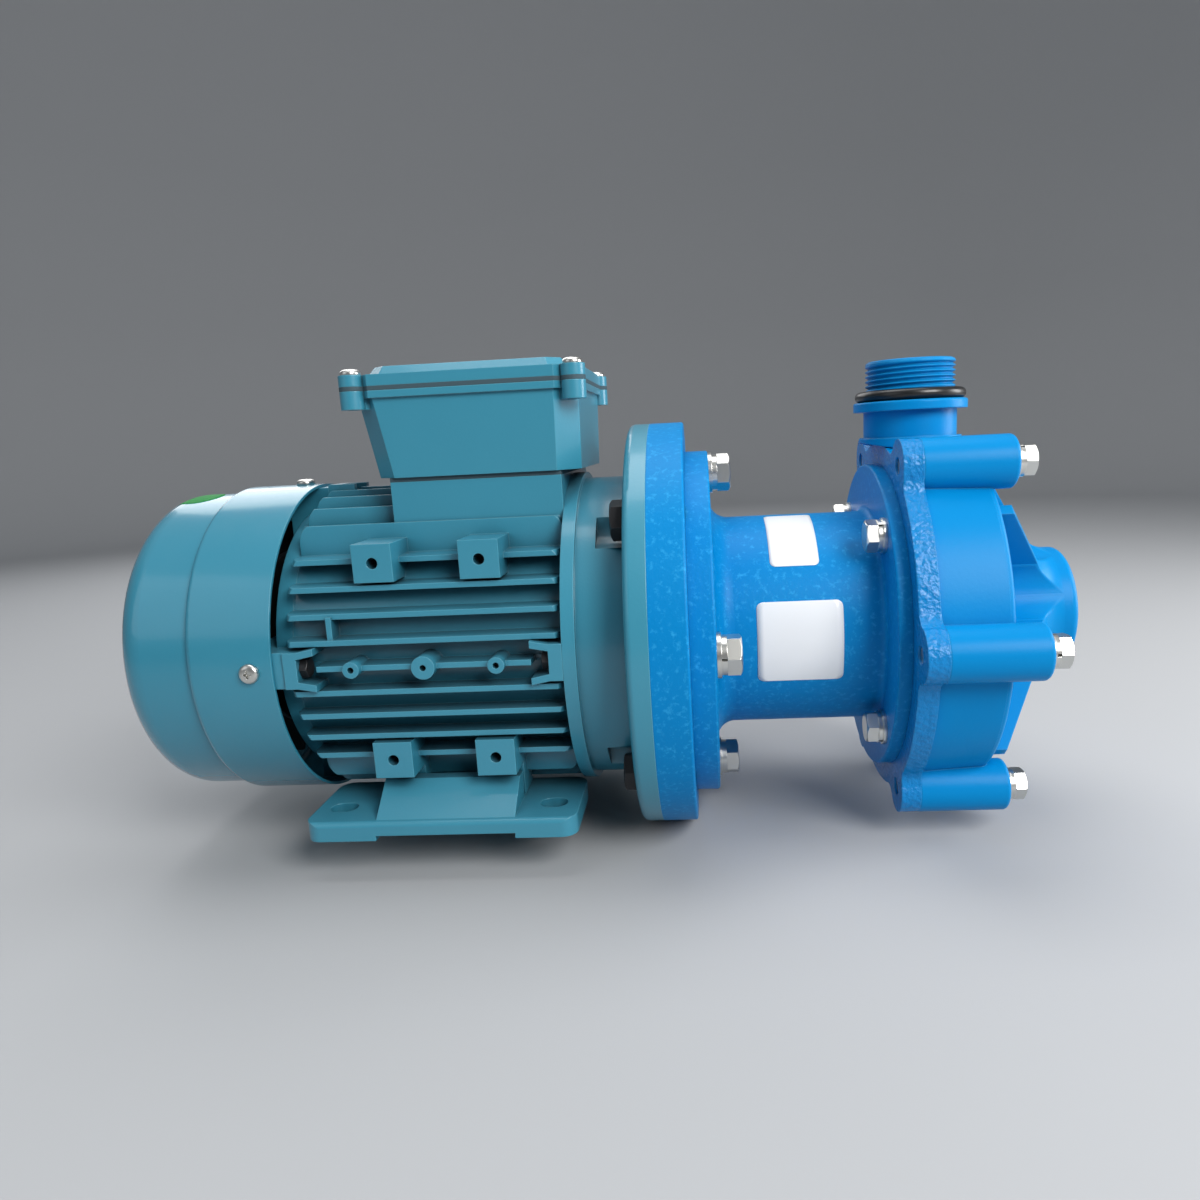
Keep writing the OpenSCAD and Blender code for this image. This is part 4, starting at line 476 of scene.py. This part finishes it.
def rib_fillets():
    half_step = math.pi / RIB_COUNT
    reach = HUB_R + FILLET_R
    valley = math.asin((FILLET_R + RIB_T / 2) / reach)
    crest = reach * math.cos(valley)
    slope = (RIB_TIP[0] - RIB_FOOT[0]) / (RIB_TIP[1] - RIB_FOOT[1])
    toe_l = TOE_R * math.tan(math.atan(-slope) / 2)
    toe_x = RIB_TIP[1] + toe_l
    toe_start = RIB_TIP[1] - toe_l * math.cos(math.atan(slope))

    def height(a):
        """Radius of the fillet at an angle from its rib's middle plane."""
        if a >= valley:
            return HUB_R - SKIN
        miss = reach * math.sin(valley - a)
        if miss >= FILLET_R:
            return crest
        return min(crest, reach * math.cos(valley - a) - math.sqrt(FILLET_R ** 2 - miss ** 2))

    def top(x):
        """Radius of the rib's edge, running out on the hub in a hollow toe."""
        if x < toe_start:
            return RIB_TIP[0] + (x - RIB_TIP[1]) * slope
        return HUB_R + TOE_R - math.sqrt(TOE_R ** 2 - (toe_x - x) ** 2)

    per_side, along = 26, 80
    spread = [half_step * (i / per_side) ** 1.6 for i in range(per_side + 1)]
    offsets = [-a for a in reversed(spread[1:])] + spread[:-1]
    turns = [(2 * half_step * k, a) for k in range(RIB_COUNT) for a in offsets]

    def ring(x, radius):
        points = []
        for middle, a in turns:
            r = radius(abs(a))
            points.append((x, r * math.cos(middle + a), SHAFT_H + r * math.sin(middle + a)))
        return points

    rows = []
    for i in range(along + 1):
        x = RIB_ROOT_X + (toe_x - RIB_ROOT_X) * i / along
        edge = top(x) - SKIN
        rows.append(ring(x, lambda a: max(HUB_R - SKIN, min(height(a), edge))))
    inner = HUB_R - FILLET_DEPTH
    rows += [ring(toe_x, lambda a: inner), ring(RIB_ROOT_X, lambda a: inner), rows[0]]
    mesh = grid_mesh("rib_fillets", rows, closed=True)
    bm = bmesh.new()
    bm.from_mesh(mesh)
    bmesh.ops.remove_doubles(bm, verts=bm.verts, dist=MERGE)
    bmesh.ops.recalc_face_normals(bm, faces=bm.faces)
    bm.to_mesh(mesh)
    bm.free()
    return new_piece("rib_fillets", mesh, BLUE, "root")


rib_fillets()


# Labels: bare sheets with rounded corners, bent round the shaft axis
SHEET = 0.00016
COWL_ROUND_X, COWL_ROUND_R = -0.130, 0.014
LARGE_LABEL = (FACE_X + 0.0467, FACE_X + 0.0857, -22.7, 19.4)
SMALL_LABEL = (FACE_X + 0.0541, FACE_X + 0.0766, 38.2, 84.6)
GREEN_OVAL = (FACE_X - 0.2400, FACE_X - 0.2180, 74.0, 92.0)


def cowl_round(x):
    """How far the round at the cowl's rear falls away at x."""
    past = max(0.0, COWL_ROUND_X - x)
    return COWL_ROUND_R - math.sqrt(COWL_ROUND_R ** 2 - past ** 2)


def sticker(name, x0, x1, a0, a1, r, corner, look, oval=False, slot="ceramic"):
    """Angles run from the viewer's side, -Y, up towards +Z."""
    half_w, half_h = (x1 - x0) / 2, r * math.radians(a1 - a0) / 2
    mid_x, mid_a = (x0 + x1) / 2, math.radians(a0 + a1) / 2
    across, up = 12, 32

    def half_width(v):
        if oval:
            return half_w * math.sqrt(max(1e-4, 1.0 - (v / half_h) ** 2))
        past = max(0.0, abs(v) - (half_h - corner))
        return half_w - corner + math.sqrt(max(0.0, corner ** 2 - past ** 2))

    def on_sheet(u, v, rr):
        a = mid_a + v / r
        rr -= cowl_round(mid_x + u)
        return Vector((mid_x + u, -rr * math.cos(a), SHAFT_H + rr * math.sin(a)))

    heights = [half_h * math.sin(math.pi * (i / up - 0.5)) for i in range(up + 1)]
    rows = [
        [on_sheet(half_width(v) * (2 * j / across - 1), v, r + SHEET) for j in range(across + 1)] for v in heights
    ]
    mesh = grid_mesh(name, rows)
    bm = bmesh.new()
    bm.from_mesh(mesh)
    rim = bmesh.ops.extrude_edge_only(bm, edges=[e for e in bm.edges if e.is_boundary])["geom"]
    for v in rim:
        if isinstance(v, bmesh.types.BMVert):
            spoke = Vector((0.0, v.co.y, v.co.z - SHAFT_H))
            v.co -= spoke.normalized() * SHEET
    bm.to_mesh(mesh)
    bm.free()
    return new_piece(name, mesh, look, "root")


sticker("large_label", *LARGE_LABEL, BARREL_R, 0.003, PAPER)
sticker("small_label", *SMALL_LABEL, BARREL_R, 0.0025, PAPER)
sticker("green_sticker", *GREEN_OVAL, COWL_REAR_R, 0.003, GREEN, oval=True, slot="motor_paint")


# Cross-head screws, repeated by Geometry Nodes
HEAD_R = 0.0045
HEAD_H = 0.0028
HEAD_SKIRT = 0.0009
HEAD_EDGE = 0.0003
CROSS_WIDE = 0.0046
CROSS_NARROW = 0.0022
CROSS_T = 0.00095
CROSS_FLOOR = 0.0013
CROSS_H = 0.003


def cross_screw():
    """Pan head with a cross recess, seat at z = 0."""
    bm = bmesh.new()
    n = 48
    profile = [(HEAD_R * 0.98, 0.0), (HEAD_R, HEAD_EDGE), (HEAD_R, HEAD_SKIRT)]
    profile += [
        (HEAD_R * math.cos(a) ** 0.6, HEAD_SKIRT + (HEAD_H - HEAD_SKIRT) * math.sin(a))
        for a in (math.pi / 2 * i / 10 for i in range(1, 10))
    ]
    rings = [
        [bm.verts.new((r * math.cos(2 * math.pi * j / n), r * math.sin(2 * math.pi * j / n), z)) for j in range(n)]
        for r, z in profile
    ]
    for low, high in zip(rings, rings[1:]):
        for j in range(n):
            bm.faces.new((low[j], low[(j + 1) % n], high[(j + 1) % n], high[j])).smooth = True
    bm.faces.new(rings[-1])
    bm.faces.new(list(reversed(rings[0])))
    head = bpy.data.meshes.new("cross_head")
    bm.to_mesh(head)
    bm.free()
    cut = bmesh.new()
    for turn in (0, math.pi / 2):
        box = bmesh.ops.create_cube(cut, size=1.0)["verts"]
        for v in box:
            wide = CROSS_WIDE if v.co.z > 0 else CROSS_NARROW
            z = CROSS_FLOOR + (v.co.z + 0.5) * CROSS_H
            v.co = Matrix.Rotation(turn, 3, "Z") @ Vector((v.co.x * wide, v.co.y * CROSS_T, z))
    tool = bpy.data.meshes.new("cross_cut")
    cut.to_mesh(tool)
    cut.free()
    a = bpy.data.objects.new("cross_head", head)
    b = bpy.data.objects.new("cross_cut", tool)
    for o in (a, b):
        bpy.context.scene.collection.objects.link(o)
    m = a.modifiers.new("recess", "BOOLEAN")
    m.operation, m.object, m.solver, m.use_self = "DIFFERENCE", b, "EXACT", True
    bpy.context.view_layer.update()
    done = bpy.data.meshes.new_from_object(a.evaluated_get(bpy.context.evaluated_depsgraph_get()))
    bpy.data.objects.remove(a)
    bpy.data.objects.remove(b)
    return done


def repeater():
    """Geometry group: an object set on each point, turned to the point's aim."""
    g = bpy.data.node_groups.new("Set on points", "GeometryNodeTree")
    g.interface.new_socket("Points", in_out="INPUT", socket_type="NodeSocketGeometry")
    g.interface.new_socket("Object", in_out="INPUT", socket_type="NodeSocketObject")
    g.interface.new_socket("Look", in_out="INPUT", socket_type="NodeSocketMaterial")
    g.interface.new_socket("Geometry", in_out="OUTPUT", socket_type="NodeSocketGeometry")
    gi, go = add(g, "NodeGroupInput", -800, 0), add(g, "NodeGroupOutput", 800, 0)
    info = add(g, "GeometryNodeObjectInfo", -500, -200)
    aim = add(g, "GeometryNodeInputNamedAttribute", -800, -350, data_type="FLOAT_VECTOR")
    aim.inputs["Name"].default_value = "aim"
    align = add(g, "FunctionNodeAlignRotationToVector", -500, -400, axis="Z")
    place = add(g, "GeometryNodeInstanceOnPoints", -150, 0)
    real = add(g, "GeometryNodeRealizeInstances", 150, 0)
    paint = add(g, "GeometryNodeSetMaterial", 450, 0)
    link(g, gi.outputs["Points"], place.inputs["Points"])
    link(g, gi.outputs["Object"], info.inputs["Object"])
    link(g, info.outputs["Geometry"], place.inputs["Instance"])
    link(g, aim.outputs["Attribute"], align.inputs["Vector"])
    link(g, align.outputs["Rotation"], place.inputs["Rotation"])
    link(g, place.outputs["Instances"], real.inputs["Geometry"])
    link(g, real.outputs["Geometry"], paint.inputs["Geometry"])
    link(g, gi.outputs["Look"], paint.inputs["Material"])
    link(g, paint.outputs["Geometry"], go.inputs["Geometry"])
    return g


REPEAT = repeater()


def repeat(name, unit_mesh, places, look, body):
    """One plain mesh of a unit set on places, each a point and an aim."""
    unit = bpy.data.objects.new(name + "_unit", unit_mesh)
    host_mesh = bpy.data.meshes.new(name + "_points")
    host_mesh.from_pydata([p for p, _ in places], [], [])
    aims = host_mesh.attributes.new("aim", "FLOAT_VECTOR", "POINT")
    aims.data.foreach_set("vector", [c for _, d in places for c in d])
    host = bpy.data.objects.new(name + "_host", host_mesh)
    for o in (unit, host):
        bpy.context.scene.collection.objects.link(o)
    m = host.modifiers.new("repeat", "NODES")
    m.node_group = REPEAT
    ids = {s.name: s.identifier for s in REPEAT.interface.items_tree if s.in_out == "INPUT"}
    m[ids["Object"]] = unit
    m[ids["Look"]] = look
    bpy.context.view_layer.update()
    mesh = bpy.data.meshes.new_from_object(host.evaluated_get(bpy.context.evaluated_depsgraph_get()))
    bpy.data.objects.remove(host)
    bpy.data.objects.remove(unit)
    mesh.name = name
    return new_piece(name, mesh, look, body)


SCREW = cross_screw()
lid_places = [
    ((LID_X + x * LID_PITCH[0] / 2, y * LID_PITCH[1] / 2, LID_TOP), (0, 0, 1)) for x in (-1, 1) for y in (-1, 1)
]
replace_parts(repeat("cross_lid_screws", SCREW, lid_places, STAINLESS, "root"), "lid_screws")
cowl_places = [
    ((COWL_SCREW_X, COWL_R * d[1], SHAFT_H + COWL_R * d[2]), d)
    for d in ((0, 0, 1), (0, 1, 0), (0, 0, -1), (0, -1, 0))
]
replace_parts(repeat("cross_cowl_screws", SCREW, cowl_places, STAINLESS, "root"), "cowl_screws")


# Stage: a round pale floor running up into a pale wall
MIDDLE = (0.08, 0.0, 0.09)


def sweep():
    floor_r, bend, wall_top, around = 2.0, 0.6, 2.2, 96
    profile = [(0.0, FLOOR_Z), (floor_r, FLOOR_Z)]
    profile += [
        (floor_r + bend * math.sin(a), FLOOR_Z + bend * (1 - math.cos(a)))
        for a in (math.pi / 2 * i / 16 for i in range(1, 17))
    ]
    profile += [(floor_r + bend, wall_top)]
    spokes = [2 * math.pi * j / around for j in range(around)]
    rows = [[(MIDDLE[0] + r * math.cos(a), r * math.sin(a), z) for a in spokes] for r, z in profile]
    mesh = grid_mesh("sweep", rows, closed=True)
    m = bpy.data.materials.new("pale stage")
    m.use_nodes = True
    bsdf = next(n for n in m.node_tree.nodes if n.type == "BSDF_PRINCIPLED")
    bsdf.inputs["Base Color"].default_value = rgb(170, 172, 175)
    bsdf.inputs["Roughness"].default_value = 0.9
    mesh.materials.append(m)
    o = bpy.data.objects.new("sweep", mesh)
    bpy.context.scene.collection.objects.link(o)


sweep()


# Light
def area(name, at, aim, size, power, tint=(1.0, 1.0, 1.0)):
    data = bpy.data.lights.new(name, "AREA")
    data.shape = "RECTANGLE"
    data.size, data.size_y = size
    data.energy = power
    data.color = tint
    o = bpy.data.objects.new(name, data)
    o.location = at
    o.rotation_euler = (Vector(aim) - Vector(at)).to_track_quat("-Z", "Y").to_euler()
    bpy.context.scene.collection.objects.link(o)


area("key", (0.85, -0.95, 0.85), MIDDLE, (0.7, 0.7), 21.0, (1.0, 0.985, 0.96))
area("fill", (-0.9, -0.9, 0.75), MIDDLE, (0.9, 0.9), 2.0, (0.95, 0.98, 1.0))
area("top", (0.05, 0.15, 1.3), MIDDLE, (1.0, 0.8), 8.0)
area("side", (1.2, 0.1, 0.35), MIDDLE, (0.5, 0.6), 7.0)
area("back", (-0.6, 1.1, 0.9), MIDDLE, (0.9, 0.9), 6.0)
world = bpy.data.worlds.new("studio")
world.use_nodes = True
world.node_tree.nodes["Background"].inputs["Color"].default_value = (0.78, 0.82, 0.86, 1.0)
world.node_tree.nodes["Background"].inputs["Strength"].default_value = 0.38
bpy.context.scene.world = world


# Camera at the photo's angle
YAW, PITCH_DOWN, ROLL = 0.0643, 0.18918, -0.0510
CAMERA_AT = Vector((0.12208, -0.43631, 0.17352))
SENSOR, LENS, SHIFT = 36.0, 25.893, (-0.03925, 0.0023)
right = Vector((math.cos(YAW), math.sin(YAW), 0.0))
ahead = Vector((-math.sin(YAW) * math.cos(PITCH_DOWN), math.cos(YAW) * math.cos(PITCH_DOWN), -math.sin(PITCH_DOWN)))
up = right.cross(ahead)
cam_x = math.cos(ROLL) * right + math.sin(ROLL) * up
cam_y = -math.sin(ROLL) * right + math.cos(ROLL) * up
cam_data = bpy.data.cameras.new("camera")
cam_data.sensor_width = SENSOR
cam_data.lens = LENS
cam_data.shift_x, cam_data.shift_y = SHIFT
cam_data.clip_start = 0.01
camera = bpy.data.objects.new("camera", cam_data)
camera.matrix_world = Matrix((
    (cam_x.x, cam_y.x, -ahead.x, CAMERA_AT.x), (cam_x.y, cam_y.y, -ahead.y, CAMERA_AT.y),
    (cam_x.z, cam_y.z, -ahead.z, CAMERA_AT.z), (0.0, 0.0, 0.0, 1.0),
))
bpy.context.scene.collection.objects.link(camera)
bpy.context.scene.camera = camera
bpy.context.scene.view_settings.view_transform = "Standard"
